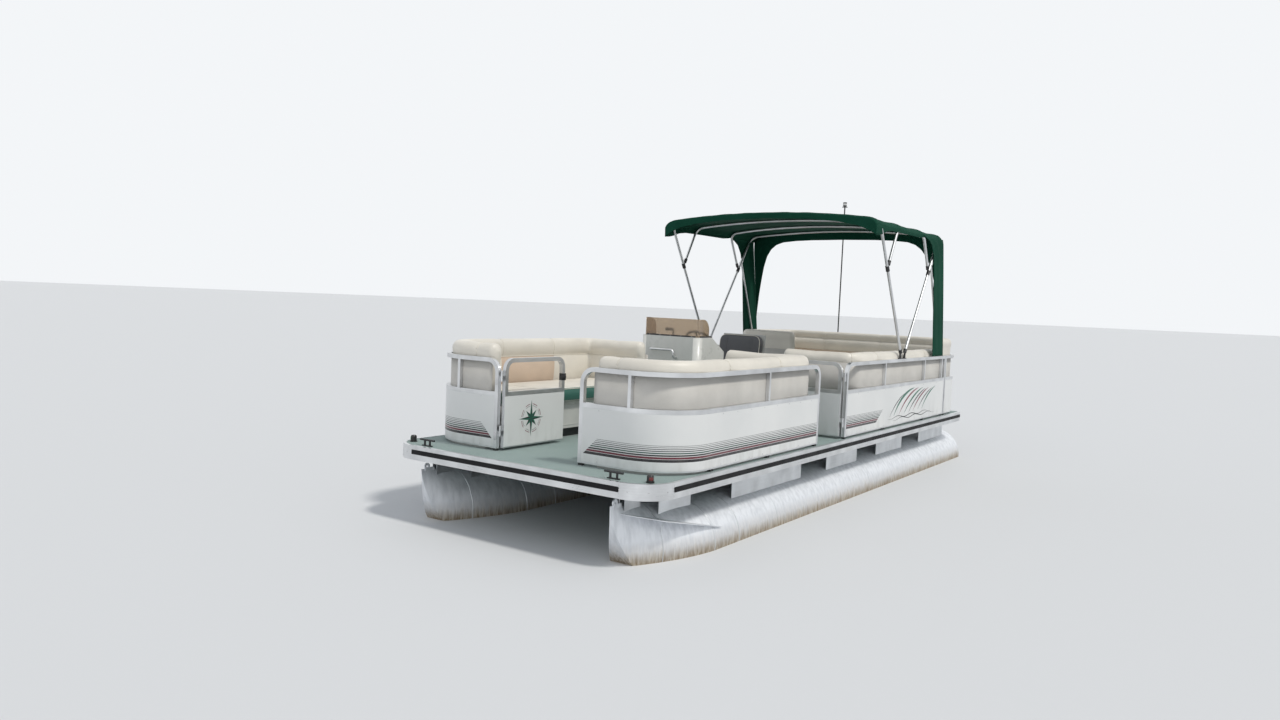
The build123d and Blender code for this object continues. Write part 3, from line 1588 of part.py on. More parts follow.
export_step(outboard_bracket.part, "parts/outboard_bracket.step")

with BuildPart() as outboard_swivel:
    barrel_half = bracket_half - bracket_plate - 5
    with BuildSketch(Plane.XZ.offset(-barrel_half)):
        with Locations((aft(tilt_station), above(tilt_height))):
            Circle(tilt_ear_radius)
    extrude(amount=2 * barrel_half)
    arm = side_outline(
        (
            (tilt_station - 4, tilt_height - 20), (tilt_station + 16, tilt_height - 12),
            (tilt_station + 26, steer_top - 3), (steer_station, steer_top - 3),
            (steer_station, steer_top - 90), (tilt_station + 20, tilt_height - 50),
        ),
        25,
    )
    extrude(to_extrude=arm, amount=50)
    with BuildSketch(Plane.XY.offset(above(steer_bottom))):
        with Locations((aft(steer_station), 0)):
            Circle(steer_tube_radius)
    extrude(amount=steer_top - steer_bottom)
    with BuildSketch(Plane.XY.offset(above(steer_bottom - 1))):
        with Locations((aft(steer_station), 0)):
            Circle(steer_shaft_radius + seat_clearance)
    extrude(amount=steer_top - steer_bottom + 40, mode=Mode.SUBTRACT)
    with BuildSketch(Plane.XZ.offset(-bracket_half)):
        with Locations((aft(tilt_station), above(tilt_height))):
            Circle(tilt_tube_radius + seat_clearance)
    extrude(amount=2 * bracket_half, mode=Mode.SUBTRACT)
outboard_swivel.part.label = "outboard_swivel"
export_step(outboard_swivel.part, "parts/outboard_swivel.step")


def level_oval(height, front, rear, half_width):
    """Level section of the leg: two arcs that meet at its front and back."""
    first = steer_station + front
    last = steer_station + rear
    middle = (first + last) / 2
    with BuildSketch(Plane.XY.offset(above(height)), mode=Mode.PRIVATE) as section:
        with BuildLine():
            ThreePointArc((aft(first), 0), (aft(middle), half_width), (aft(last), 0))
            ThreePointArc((aft(last), 0), (aft(middle), -half_width), (aft(first), 0))
        make_face()
    return section.sketch


with BuildPart() as outboard_leg:
    # Steering shaft and its two yokes
    with BuildSketch(Plane.XY.offset(above(steer_bottom - 30))):
        with Locations((aft(steer_station), 0)):
            Circle(steer_shaft_radius)
    extrude(amount=steer_top - steer_bottom + 60)
    for low in (steer_top + seat_clearance, steer_bottom - yoke_depth - seat_clearance):
        plan_box(steer_station, steer_station + 90, -yoke_radius, yoke_radius, low, low + yoke_depth)
        with BuildSketch(Plane.XY.offset(above(low))):
            with Locations((aft(steer_station), 0)):
                Circle(yoke_radius)
        extrude(amount=yoke_depth)
    # Drive-shaft housing, from the cowl down to the plate
    for upper, lower in zip(leg_forms, leg_forms[1:]):
        loft([level_oval(*upper), level_oval(*lower)])
    with BuildSketch(Plane.XY.offset(above(plate_height))):
        with BuildLine():
            port_edge = [(aft(steer_station + distance), half) for distance, half in plate_corners]
            Polyline(port_edge + [(x, -half) for x, half in reversed(port_edge)], close=True)
        make_face()
    extrude(amount=plate_thickness)
    loft([level_oval(*form) for form in lower_leg_forms])
    # Gearcase: a turned body, and the skeg below it
    with BuildSketch(Plane.XZ):
        with BuildLine():
            line = [(aft(prop_station - ahead), above(prop_axis_height + radius)) for ahead, radius in gearcase_line]
            Spline(line, tangents=((0, 1), (-1, -0.15)))
            Polyline(line[-1], (line[-1][0], above(prop_axis_height)), line[0])
        make_face()
    revolve(axis=Axis((0, 0, above(prop_axis_height)), (1, 0, 0)))
    skeg = side_outline([(steer_station + distance, height) for distance, height in skeg_line], 5)
    extrude(to_extrude=skeg, amount=10)
    # Propeller shaft
    with BuildSketch(Plane.YZ.offset(aft(prop_station + prop_hub_length / 2 + 16))):
        with Locations((0, above(prop_axis_height))):
            Circle(prop_shaft_radius)
    extrude(amount=prop_hub_length + 40)
outboard_leg.part.label = "outboard_leg"
export_step(outboard_leg.part, "parts/outboard_leg.step")

with BuildPart() as outboard_cowl:
    cowl_aft = deck_length + motor_reach
    cowl_fore = steer_station - 45
    with BuildSketch(Plane.XY.offset(above(cowl_bottom))) as cowl_plan:
        with Locations((aft((cowl_fore + cowl_aft) / 2), 0)):
            Rectangle(cowl_aft - cowl_fore, 2 * cowl_half_width)
        fillet(cowl_plan.vertices().group_by(Axis.X)[-1], radius=cowl_half_width - 1)
        fillet(cowl_plan.vertices().group_by(Axis.X)[0], radius=cowl_round)
    extrude(amount=cowl_top - cowl_bottom)
    fillet(outboard_cowl.edges().group_by(Axis.Z)[-1], radius=cowl_round - 5)
    # A reveal runs round it where the hood meets the pan
    seam = above(cowl_bottom + 110)
    with BuildSketch(Plane.XY.offset(seam)):
        with Locations((aft((cowl_fore + cowl_aft) / 2), 0)):
            Rectangle(cowl_aft - cowl_fore + 40, 2 * cowl_half_width + 40)
        with BuildSketch(mode=Mode.PRIVATE) as inner_plan:
            with Locations((aft((cowl_fore + cowl_aft) / 2), 0)):
                Rectangle(cowl_aft - cowl_fore - 8, 2 * cowl_half_width - 8)
            fillet(inner_plan.vertices().group_by(Axis.X)[-1], radius=cowl_half_width - 5)
            fillet(inner_plan.vertices().group_by(Axis.X)[0], radius=cowl_round - 4)
        add(inner_plan.sketch, mode=Mode.SUBTRACT)
    extrude(amount=6, mode=Mode.SUBTRACT)
outboard_cowl.part.label = "outboard_cowl"
export_step(outboard_cowl.part, "parts/outboard_cowl.step")

with BuildPart() as propeller:
    shaft_plane = Plane.YZ.offset(aft(prop_station + prop_hub_length / 2))
    with BuildSketch(shaft_plane):
        with Locations((0, above(prop_axis_height))):
            Circle(prop_hub_radius)
    extrude(amount=prop_hub_length)
    blade_root = Vector(aft(prop_station), 0, above(prop_axis_height))
    for blade in range(prop_blades):
        turn = 360 / prop_blades * blade
        with BuildPart(mode=Mode.PRIVATE) as vane:
            sections = []
            for radius, chord, pitch in ((prop_hub_radius - 12, 50, 52), (85, 112, 34), (prop_radius, 46, 24)):
                with BuildSketch(
                    Plane(origin=(0, 0, radius), x_dir=(sin(radians(pitch)), cos(radians(pitch)), 0), z_dir=(0, 0, 1)),
                    mode=Mode.PRIVATE,
                ) as section:
                    with BuildLine():
                        ThreePointArc((-chord / 2, 0), (0, 5), (chord / 2, 0))
                        ThreePointArc((chord / 2, 0), (0, -1.5), (-chord / 2, 0))
                    make_face()
                sections.append(section.sketch)
            loft(sections)
        add(Pos(blade_root) * Rot(turn, 0, 0) * vane.part)
    with BuildSketch(shaft_plane.offset(-10)):
        with Locations((0, above(prop_axis_height))):
            Circle(prop_shaft_radius + seat_clearance)
    extrude(amount=prop_hub_length + 20, mode=Mode.SUBTRACT)
propeller.part.label = "propeller"
export_step(propeller.part, "parts/propeller.step")

# Small fittings: mooring cleats, bow lights and the stern light's pole
with BuildPart() as cleats:
    for station, y, base_low in cleat_places:
        with Locations((aft(station), y, above(base_low + cleat_plate / 2))):
            Box(cleat_base, cleat_foot_length, cleat_plate)
        for side in (1, -1):
            with Locations((aft(station), y + side * cleat_post_offset, above(base_low + cleat_post_height / 2 + 5))):
                Cylinder(cleat_post_radius, cleat_post_height)
        with Locations(Location((aft(station), y, above(base_low + cleat_horn_height)), (90, 0, 0))):
            Cylinder(cleat_horn_radius, cleat_length)
cleats.part.label = "cleats"
export_step(cleats.part, "parts/cleats.step")

with BuildPart() as nav_lights:
    for side in (1, -1):
        with Locations((aft(nav_station), side * nav_y, above(seat_clearance + light_base / 2))):
            Cylinder(light_radius, light_base)
        with Locations((aft(nav_station), side * nav_y, above(seat_clearance + light_base + light_height / 2))):
            Cylinder(light_radius - light_dome_inset, light_height)
    fillet(nav_lights.edges().group_by(Axis.Z)[-1], radius=light_round)
nav_lights.part.label = "nav_lights"
export_step(nav_lights.part, "parts/nav_lights.step")

with BuildPart() as stern_light:
    light_x = aft(fence_stern - rail_size / 2)
    pole_bottom = rail_top + pole_socket_bottom
    with Locations((light_x, light_pole_y, above(rail_top + seat_clearance + pole_socket_height / 2))):
        Cylinder(pole_socket_radius, pole_socket_height)
    with Locations((light_x, light_pole_y, above((pole_bottom + light_pole_top) / 2))):
        Cylinder(light_pole_radius, light_pole_top - pole_bottom)
    with Locations((light_x, light_pole_y, above(light_pole_top - lamp_height / 2))):
        Cylinder(lamp_radius, lamp_height)
    with Locations((light_x, light_pole_y, above(light_pole_top - lamp_brim_drop))):
        Cylinder(lamp_brim_radius, lamp_brim_thickness)
stern_light.part.label = "stern_light"
export_step(stern_light.part, "parts/stern_light.step")
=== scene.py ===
import math
from itertools import product

import bmesh
import bpy
from mathutils import Matrix, Vector, bvhtree, kdtree


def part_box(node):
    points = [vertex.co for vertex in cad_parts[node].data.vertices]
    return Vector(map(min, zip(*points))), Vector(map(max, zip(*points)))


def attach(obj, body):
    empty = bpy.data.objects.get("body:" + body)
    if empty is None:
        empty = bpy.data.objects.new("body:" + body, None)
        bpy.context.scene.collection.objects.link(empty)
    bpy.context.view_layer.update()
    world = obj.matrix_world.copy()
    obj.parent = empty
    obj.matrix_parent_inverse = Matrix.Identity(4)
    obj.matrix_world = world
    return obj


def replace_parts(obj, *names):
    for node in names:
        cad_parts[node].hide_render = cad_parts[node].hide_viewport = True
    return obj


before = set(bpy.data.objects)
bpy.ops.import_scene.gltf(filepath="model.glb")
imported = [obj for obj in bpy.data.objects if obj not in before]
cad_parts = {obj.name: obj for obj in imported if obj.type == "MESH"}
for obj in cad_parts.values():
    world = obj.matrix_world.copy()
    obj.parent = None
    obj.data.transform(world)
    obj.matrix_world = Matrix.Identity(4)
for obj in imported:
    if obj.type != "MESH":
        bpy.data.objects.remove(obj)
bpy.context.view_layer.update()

# Places: metres, stations aft of the deck's bow edge, heights above the deck
deck_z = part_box("deck")[1].z
bow_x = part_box("deck_trim")[1].x
fence_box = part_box("fence_bow_port")
fence_side = fence_box[1].y
fence_front = bow_x - fence_box[1].x
waterline = 0.279
tube_y = 0.88
hands = ((1, "port"), (-1, "starboard"))


def at(station, y, height):
    """A point in the boat's frame, from its station, its side and its height above the deck."""
    return Vector((bow_x - station, y, deck_z + height))


# Materials
class Look:
    """A node material with a principled shader, and short ways to add texture nodes to it."""

    def __init__(self, name, color, roughness, metallic=0.0, slot=None):
        self.material = bpy.data.materials.new(name)
        self.material.use_nodes = True
        self.tree = self.material.node_tree
        self.shader = self.tree.nodes["Principled BSDF"]
        self.set("Base Color", (*color, 1))
        self.set("Roughness", roughness)
        self.set("Metallic", metallic)
        self.slot = slot
        self.bump = None

    def set(self, name, value):
        self.shader.inputs[name].default_value = value
        return self

    def node(self, kind, links=(), **values):
        """A new node, with values for its settings or sockets and links from other sockets."""
        node = self.tree.nodes.new(kind)
        for name, value in values.items():
            if hasattr(node, name):
                setattr(node, name, value)
            else:
                node.inputs[name.replace("_", " ").title()].default_value = value
        for socket, source in links:
            self.tree.links.new(source, node.inputs[socket])
        return node

    def place(self, scale=(1, 1, 1), turn=(0, 0, 0)):
        """Object coordinates, stretched or turned."""
        coords = self.node("ShaderNodeTexCoord")
        links = [("Vector", coords.outputs["Object"])]
        return self.node("ShaderNodeMapping", links, scale=scale, rotation=turn).outputs["Vector"]

    def noise(self, scale, detail=4, stretch=(1, 1, 1)):
        links = [("Vector", self.place(stretch))]
        return self.node("ShaderNodeTexNoise", links, scale=scale, detail=detail).outputs["Fac"]

    def ramp(self, source, *stops):
        """A colour ramp from (position, colour or grey) stops."""
        node = self.node("ShaderNodeValToRGB", [("Fac", source)])
        elements = node.color_ramp.elements
        while len(elements) < len(stops):
            elements.new(0.5)
        for element, (position, value) in zip(elements, stops):
            element.position = position
            element.color = (*value, 1) if hasattr(value, "__len__") else (value, value, value, 1)
        return node.outputs["Color"]

    def fill(self, node, index, value):
        """Link a socket to a node's input, or set a number or a colour there."""
        if isinstance(value, bpy.types.NodeSocket):
            self.tree.links.new(value, node.inputs[index])
        else:
            node.inputs[index].default_value = (*value, 1) if isinstance(value, tuple) else value

    def mix(self, factor, first, second):
        """A colour mix: each side is a colour or a socket."""
        node = self.node("ShaderNodeMix", data_type="RGBA")
        for index, value in ((0, factor), (6, first), (7, second)):
            self.fill(node, index, value)
        return node.outputs[2]

    def math(self, operation, *values):
        node = self.node("ShaderNodeMath", operation=operation)
        for index, value in enumerate(values):
            self.fill(node, index, value)
        return node.outputs["Value"]

    def axes(self):
        """Object coordinates as separate x, y and z sockets."""
        coords = self.node("ShaderNodeTexCoord")
        return self.node("ShaderNodeSeparateXYZ", [("Vector", coords.outputs["Object"])]).outputs[:]

    def color(self, source):
        self.tree.links.new(source, self.shader.inputs["Base Color"])
        return self

    def rough(self, source):
        self.tree.links.new(source, self.shader.inputs["Roughness"])
        return self

    def patchy(self, scale, detail, *stops):
        """Colours in soft patches, from (position, colour) stops."""
        return self.color(self.ramp(self.noise(scale, detail), *stops))

    def uneven(self, roughness, scale, detail, stretch=(1, 1, 1)):
        """Roughness that varies a little round its value."""
        source = self.noise(scale, detail, stretch)
        return self.rough(self.ramp(source, (0.3, roughness * 0.85), (0.7, min(1, roughness * 1.2))))

    def raise_by(self, source, distance, strength=1.0):
        """A bump from a texture; several add up."""
        node = self.node("ShaderNodeBump", [("Height", source)], distance=distance, strength=strength)
        if self.bump:
            self.tree.links.new(self.bump.outputs["Normal"], node.inputs["Normal"])
        self.bump = node
        self.tree.links.new(node.outputs["Normal"], self.shader.inputs["Normal"])
        return self


def shade(color, share):
    """A colour made lighter or darker."""
    return tuple(min(1, c * share) for c in color)


def metal(name, color, roughness, slot, scratch=(1, 1, 1)):
    look = Look(name, color, roughness, 1.0, slot)
    look.patchy(5, 3, (0.3, shade(color, 0.82)), (0.7, shade(color, 1.08)))
    look.uneven(roughness, 26, 4, scratch)
    return look.raise_by(look.noise(12, 2, scratch), 0.00008, 0.15)


def plastic(name, color, roughness, slot, grain=0.0003, soil=0.9):
    look = Look(name, color, roughness, 0.0, slot)
    look.patchy(3.5, 5, (0.35, shade(color, soil)), (0.65, color))
    look.uneven(roughness, 9, 4)
    return look.raise_by(look.noise(420, 2), grain, 0.5)


def vinyl(name, color, slot):
    """Marine vinyl: a fine pebbled grain, slightly soiled in patches."""
    roughness = 0.42
    look = Look(name, color, roughness, 0.0, slot)
    look.patchy(4, 5, (0.35, shade(color, 0.90)), (0.62, color))
    look.uneven(roughness, 14, 3)
    cells = look.node("ShaderNodeTexVoronoi", [("Vector", look.place())], scale=420)
    look.raise_by(cells.outputs["Distance"], 0.0004, 0.35)
    look.raise_by(look.noise(7, 3), 0.004, 0.25)
    return look.set("Sheen Weight", 0.06)


def cloth(name, color, slot):
    """Woven acrylic cloth, with its two thread directions and a little fading."""
    look = Look(name, color, 0.88, 0.0, slot)
    faded = tuple(min(1, c * 1.3 + 0.003) for c in color)
    look.patchy(2.2, 5, (0.35, color), (0.75, faded))
    for angle in (0.0, math.pi / 2):
        links = [("Vector", look.place(turn=(0, 0, angle)))]
        threads = look.node("ShaderNodeTexWave", links, scale=240, distortion=0.6)
        look.raise_by(threads.outputs["Fac"], 0.0004, 0.3)
    return look.set("Specular IOR Level", 0.12)


def pontoon_metal():
    """Bare tube aluminium: bright above, streaked, and stained tan near the waterline."""
    look = Look("pontoon_metal", (0.74, 0.75, 0.77), 0.34, 0.6, "tube_aluminium")
    z = look.axes()[2]
    streaks = look.noise(9, 5, (3.0, 3.0, 0.5))
    fine = look.noise(34, 4, (2.2, 2.2, 0.35))
    bright = look.ramp(streaks, (0.32, (0.66, 0.68, 0.71)), (0.6, (0.79, 0.81, 0.84)))
    height = look.math("SUBTRACT", z, waterline)
    wavy = look.math("MULTIPLY_ADD", streaks, -0.09, 0.045)
    level = look.math("ADD", height, wavy)
    near_water = look.ramp(level, (0.0, 1.0), (0.035, 0.80), (0.085, 0.26), (0.15, 0.0))
    rust = look.ramp(fine, (0.38, (0.27, 0.21, 0.14)), (0.66, (0.52, 0.47, 0.39)))
    look.color(look.mix(near_water, bright, rust))
    look.rough(look.math("MULTIPLY_ADD", near_water, 0.1, 0.58))
    look.raise_by(fine, 0.0002, 0.35)
    look.raise_by(look.noise(2.4, 2), 0.003, 0.3)
    return look


# Pin stripes of the fence panels: height of the middle, half thickness, colour
stripes = (
    (0.0990, 0.0095, (0.012, 0.012, 0.014)),
    (0.1180, 0.0070, (0.13, 0.010, 0.025)),
    (0.1345, 0.0052, (0.012, 0.012, 0.014)),
    (0.1500, 0.0040, (0.012, 0.06, 0.045)),
    (0.1640, 0.0030, (0.02, 0.025, 0.03)),
    (0.1770, 0.0024, (0.03, 0.035, 0.04)),
    (0.1890, 0.0018, (0.05, 0.055, 0.06)),
    (0.2000, 0.0014, (0.08, 0.085, 0.09)),
)
stripe_start_y = 0.34
stripe_start_slope = 1.03
aft_stripe_end = 3.78
aft_stripe_slope = 1.6
aft_fence_start = bow_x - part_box("fence_aft_port")[1].x


def panel_paint(name, striped):
    """Satin off-white paint over sheet, with pin stripes along its lower part."""
    white = (0.76, 0.765, 0.75)
    look = Look(name, white, 0.36, 0.0, "panel_paint")
    base = look.ramp(look.noise(1.6, 5), (0.35, (0.70, 0.71, 0.70)), (0.65, white))
    x, y, z = look.axes()
    height = look.math("SUBTRACT", z, deck_z)
    if striped:
        station = look.math("SUBTRACT", bow_x, x)
        side = look.math("ABSOLUTE", y)
        start = look.math("MULTIPLY_ADD", height, stripe_start_slope, stripe_start_y)
        on_front = look.math("GREATER_THAN", side, start)
        bow_part = look.math("LESS_THAN", station, aft_fence_start - 0.45)
        end = look.math("MULTIPLY_ADD", height, aft_stripe_slope, aft_stripe_end)
        aft_part = look.math("LESS_THAN", station, end)
        allowed = look.math("MULTIPLY", on_front, look.math("MAXIMUM", bow_part, aft_part))
        for middle, half, color in stripes:
            off = look.math("ABSOLUTE", look.math("SUBTRACT", height, middle))
            line = look.math("LESS_THAN", off, half)
            base = look.mix(look.math("MULTIPLY", line, allowed), base, color)
    grime = look.ramp(look.noise(14, 5, (1, 1, 0.3)), (0.45, 0.0), (0.85, 0.35))
    low = look.ramp(height, (0.03, 1.0), (0.22, 0.0))
    base = look.mix(look.math("MULTIPLY", grime, low), base, (0.30, 0.29, 0.25))
    return look.color(base).raise_by(look.noise(5, 3), 0.0025, 0.3).set("Coat Weight", 0.25)


def carpet():
    """Short grey-green marine carpet, worn lighter in patches."""
    look = Look("deck_carpet", (0.21, 0.30, 0.28), 0.97, 0.0, "deck_carpet")
    fibres = look.noise(520, 3)
    patches = look.ramp(look.noise(1.8, 6), (0.35, (0.17, 0.25, 0.235)), (0.7, (0.25, 0.335, 0.315)))
    speck = look.ramp(fibres, (0.4, (0.12, 0.18, 0.165)), (0.6, (0.34, 0.43, 0.40)))
    look.color(look.mix(0.45, patches, speck))
    look.raise_by(fibres, 0.0025, 0.7)
    return look.set("Sheen Weight", 0.3)


def smoked_acrylic():
    look = Look("smoked_acrylic", (0.50, 0.38, 0.26), 0.06, 0.0, "screen_acrylic")
    look.set("Transmission Weight", 0.85).set("IOR", 1.49).set("Coat Weight", 0.4)
    look.rough(look.ramp(look.noise(8, 4), (0.3, 0.04), (0.7, 0.16)))
    return look


def dull(look, level):
    return look.set("Specular IOR Level", level)


def lens(name, color, roughness, coat):
    return plastic(name, color, roughness, "light_plastic", 0.00002).set("Coat Weight", coat)


looks = {
    "pontoon": pontoon_metal(),
    "riser": metal("riser_metal", (0.66, 0.68, 0.70), 0.42, "riser_aluminium", (0.2, 3, 3)),
    "rail": metal("rail_metal", (0.70, 0.71, 0.72), 0.38, "rail_aluminium"),
    "trim": metal("trim_metal", (0.74, 0.75, 0.76), 0.32, "trim_aluminium", (0.15, 0.15, 4)),
    "rubber": dull(plastic("rub_rubber", (0.012, 0.012, 0.013), 0.6, "rub_rubber"), 0.2),
    "carpet": carpet(),
    "panel": panel_paint("fence_paint", striped=True),
    "gate_panel": panel_paint("gate_paint", striped=False),
    "black": plastic("black_plastic", (0.025, 0.025, 0.026), 0.48, "black_plastic"),
    "base": plastic("seat_base_plastic", (0.60, 0.60, 0.57), 0.5, "seat_base_plastic", soil=0.85),
    "shell": plastic("seat_shell_plastic", (0.57, 0.55, 0.51), 0.55, "seat_base_plastic", soil=0.85),
    "cream": vinyl("cream_vinyl", (0.73, 0.69, 0.61), "seat_vinyl"),
    # The tan vinyl is painted shade: a darker colour for the pad faces in the shade under the backrest rolls
    "tan": vinyl("painted_shade_tan_vinyl", (0.60, 0.47, 0.36), "seat_vinyl"),
    "green": vinyl("green_vinyl", (0.03, 0.13, 0.10), "seat_vinyl"),
    "piping": plastic("cream_piping", (0.70, 0.66, 0.57), 0.4, "seat_vinyl"),
    "console": plastic("console_gelcoat", (0.70, 0.70, 0.66), 0.3, "console_plastic", 0.0001),
    "screen": smoked_acrylic(),
    "pedestal": metal("pedestal_metal", (0.60, 0.61, 0.62), 0.3, "pedestal_metal"),
    "chair_shell": plastic("chair_shell_plastic", (0.55, 0.55, 0.52), 0.45, "chair_plastic"),
    "chair": vinyl("charcoal_vinyl", (0.075, 0.078, 0.085), "chair_vinyl"),
    "canopy": cloth("canopy_cloth", (0.004, 0.046, 0.027), "canopy_cloth"),
    "motor": plastic("motor_paint", (0.035, 0.037, 0.042), 0.33, "motor_paint", 0.0001),
    "cowl": plastic("cowl_gloss", (0.030, 0.032, 0.038), 0.2, "cowl_plastic", 0.00005),
    "chrome": metal("chrome", (0.80, 0.80, 0.81), 0.12, "fitting_chrome"),
    "lamp": plastic("lamp_plastic", (0.02, 0.02, 0.02), 0.25, "light_plastic"),
    "steel": metal("bolt_steel", (0.62, 0.62, 0.63), 0.3, "fitting_chrome"),
    "red_lens": lens("red_lens", (0.15, 0.007, 0.007), 0.12, 0.4),
    "green_lens": lens("green_lens", (0.010, 0.22, 0.07), 0.12, 0.6),
    "clear_lens": lens("clear_lens", (0.72, 0.72, 0.70), 0.10, 0.5),
    "thread": dull(plastic("seam_thread", (0.006, 0.060, 0.036), 0.8, "canopy_cloth"), 0.1),
    "white_mark": plastic("white_mark", (0.75, 0.75, 0.72), 0.5, "black_plastic", 0.00005),
    "ink_black": plastic("art_black", (0.020, 0.024, 0.024), 0.42, "panel_paint", 0.00005),
    "ink_green": plastic("art_green", (0.030, 0.15, 0.10), 0.42, "panel_paint", 0.00005),
    "ink_maroon": plastic("art_maroon", (0.20, 0.025, 0.05), 0.42, "panel_paint", 0.00005),
}


dressed = {
    "pontoon": ("pontoon_port", "pontoon_starboard"),
    "riser": ("risers", "cross_members", "motor_pod"),
    "trim": ("deck_trim", "corner_caps"),
    "rubber": ("rub_inserts",),
    "carpet": ("deck",),
    "rail": (
        "fence_bow_port", "fence_bow_starboard", "fence_aft_port", "fence_aft_starboard", "fence_stern",
        "gate_bow_frame", "gate_port_frame", "console_rail",
        "bimini_main_bows", "bimini_second_bows", "bimini_rear_poles",
    ),
    "panel": ("fence_panels",),
    "gate_panel": ("gate_bow_panel", "gate_port_panel"),
    "black": ("fence_feet", "bimini_fittings", "steering_wheel", "cleats"),
    "base": ("seat_base_bow_port", "seat_base_bow_starboard", "seat_base_aft"),
    "cream": (
        "seat_lid_bow_port", "seat_lid_bow_starboard", "seat_lid_aft_port", "seat_cushions_fixed",
        "backrest_bow_port", "backrest_bow_starboard", "backrest_aft_port", "backrest_stern",
    ),
    "console": ("console_body",),
    "screen": ("windscreen",),
    "pedestal": ("helm_pedestal",),
    "chair_shell": ("helm_chair_shell",),
    "chair": ("helm_chair_cushion",),
    "canopy": ("bimini_canopy", "canopy_legs"),
    "motor": ("outboard_bracket", "outboard_swivel", "outboard_leg", "propeller"),
    "cowl": ("outboard_cowl",),
    "lamp": ("nav_lights", "stern_light"),
}
for look, nodes in dressed.items():
    for node in nodes:
        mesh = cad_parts[node].data
        mesh.materials.clear()
        mesh.materials.append(looks[look].material)


# Mesh helpers
def placed(name, data):
    """A new object in the scene."""
    made = bpy.data.objects.new(name, data)
    bpy.context.scene.collection.objects.link(made)
    return made


def smoothed(mesh):
    mesh.polygons.foreach_set("use_smooth", [True] * len(mesh.polygons))


def piece_of(name, mesh, look, body):
    """A piece that rides on a body, from a mesh."""
    mesh.materials.append(looks[look].material)
    piece = placed(name, mesh)
    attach(piece, body)
    return piece


def make(name, vertices, faces, look, body="hull", smooth=True):
    """A piece from vertices and faces."""
    mesh = bpy.data.meshes.new(name)
    mesh.from_pydata([tuple(v) for v in vertices], [], faces)
    mesh.validate()
    if smooth:
        smoothed(mesh)
    return piece_of(name, mesh, look, body)


def applied(piece):
    """Apply a piece's modifiers."""
    graph = bpy.context.evaluated_depsgraph_get()
    piece.data = bpy.data.meshes.new_from_object(piece.evaluated_get(graph))
    piece.modifiers.clear()


def thicken(piece, thickness, offset):
    solid = piece.modifiers.new("thickness", "SOLIDIFY")
    solid.thickness = thickness
    solid.offset = offset
    applied(piece)


def outward(piece):
    """Turn all faces of a closed piece outwards."""
    work = bmesh.new()
    work.from_mesh(piece.data)
    bmesh.ops.recalc_face_normals(work, faces=work.faces)
    work.to_mesh(piece.data)
    work.free()
    return piece


def skin_of(mesh):
    """A mesh's surface, to find places on."""
    work = bmesh.new()
    work.from_mesh(mesh)
    tree = bvhtree.BVHTree.FromBMesh(work)
    work.free()
    return tree


def quads(rows, columns, around=True):
    """Faces of a grid of points; around joins the ends of each row."""
    faces = []
    for i in range(rows - 1):
        for k in range(columns if around else columns - 1):
            a, b = i * columns + k, i * columns + (k + 1) % columns
            faces.append((a, b, b + columns, a + columns))
    return faces


def capped(rows, columns):
    """Faces of a grid joined around, with its first and last rows closed."""
    ends = [tuple(reversed(range(columns))), tuple(range((rows - 1) * columns, rows * columns))]
    return quads(rows, columns) + ends


def tube(name, points, radius, look, body="hull", sides=10):
    """A round tube along points."""
    points = [Vector(p) for p in points]
    vertices = []
    for i, point in enumerate(points):
        along = (points[min(i + 1, len(points) - 1)] - points[max(i - 1, 0)]).normalized()
        hint = Vector((0, 0, 1)) if abs(along.z) < 0.9 else Vector((1, 0, 0))
        across = along.cross(hint).normalized()
        up = across.cross(along)
        for k in range(sides):
            angle = 2 * math.pi * k / sides
            vertices.append(point + (across * math.cos(angle) + up * math.sin(angle)) * radius)
    return make(name, vertices, capped(len(points), sides), look, body)


def rounded_path(corners, step=0.025):
    """Plan points along a line whose corners, given as (x, y, radius), are rounded."""
    points = [Vector(corners[0][:2])]
    for (x0, y0, _), (x1, y1, radius), (x2, y2, _) in zip(corners, corners[1:], corners[2:]):
        corner = Vector((x1, y1))
        back = (Vector((x0, y0)) - corner).normalized()
        ahead = (Vector((x2, y2)) - corner).normalized()
        half = back.angle(ahead) / 2
        reach = radius / math.tan(half)
        centre = corner + (back + ahead).normalized() * (radius / math.sin(half))
        first = corner + back * reach - centre
        last = corner + ahead * reach - centre
        sweep = first.angle_signed(last)
        steps = max(4, round(abs(sweep) * radius / step))
        for k in range(steps + 1):
            angle = -sweep * k / steps
            turned = Vector((
                first.x * math.cos(angle) - first.y * math.sin(angle),
                first.x * math.sin(angle) + first.y * math.cos(angle),
            ))
            points.append(centre + turned)
    points.append(Vector(corners[-1][:2]))
    lengths = [0.0]
    for a, b in zip(points, points[1:]):
        lengths.append(lengths[-1] + (b - a).length)
    count = max(2, round(lengths[-1] / step))
    even = []
    j = 0
    for k in range(count + 1):
        want = lengths[-1] * k / count
        while j < len(points) - 2 and lengths[j + 1] < want:
            j += 1
        span = lengths[j + 1] - lengths[j]
        even.append(points[j].lerp(points[j + 1], (want - lengths[j]) / span if span else 0))
    return even, lengths[-1]


# Camera, floor, light
camera_data = bpy.data.cameras.new("camera")
camera_data.sensor_width = 36
camera_data.lens = 26.13
camera = placed("camera", camera_data)
camera_right = Vector((-0.569, 0.821, 0.043)).normalized()
camera_up = Vector((-0.025, -0.070, 0.997))
camera_back = camera_right.cross(camera_up).normalized()
camera_up = camera_back.cross(camera_right)
camera.matrix_world = Matrix((
    (camera_right.x, camera_up.x, camera_back.x, bow_x + 4.746),
    (camera_right.y, camera_up.y, camera_back.y, 4.356),
    (camera_right.z, camera_up.z, camera_back.z, deck_z + 1.137),
    (0, 0, 0, 1),
))
bpy.context.scene.camera = camera
bpy.context.scene.view_settings.view_transform = "Standard"

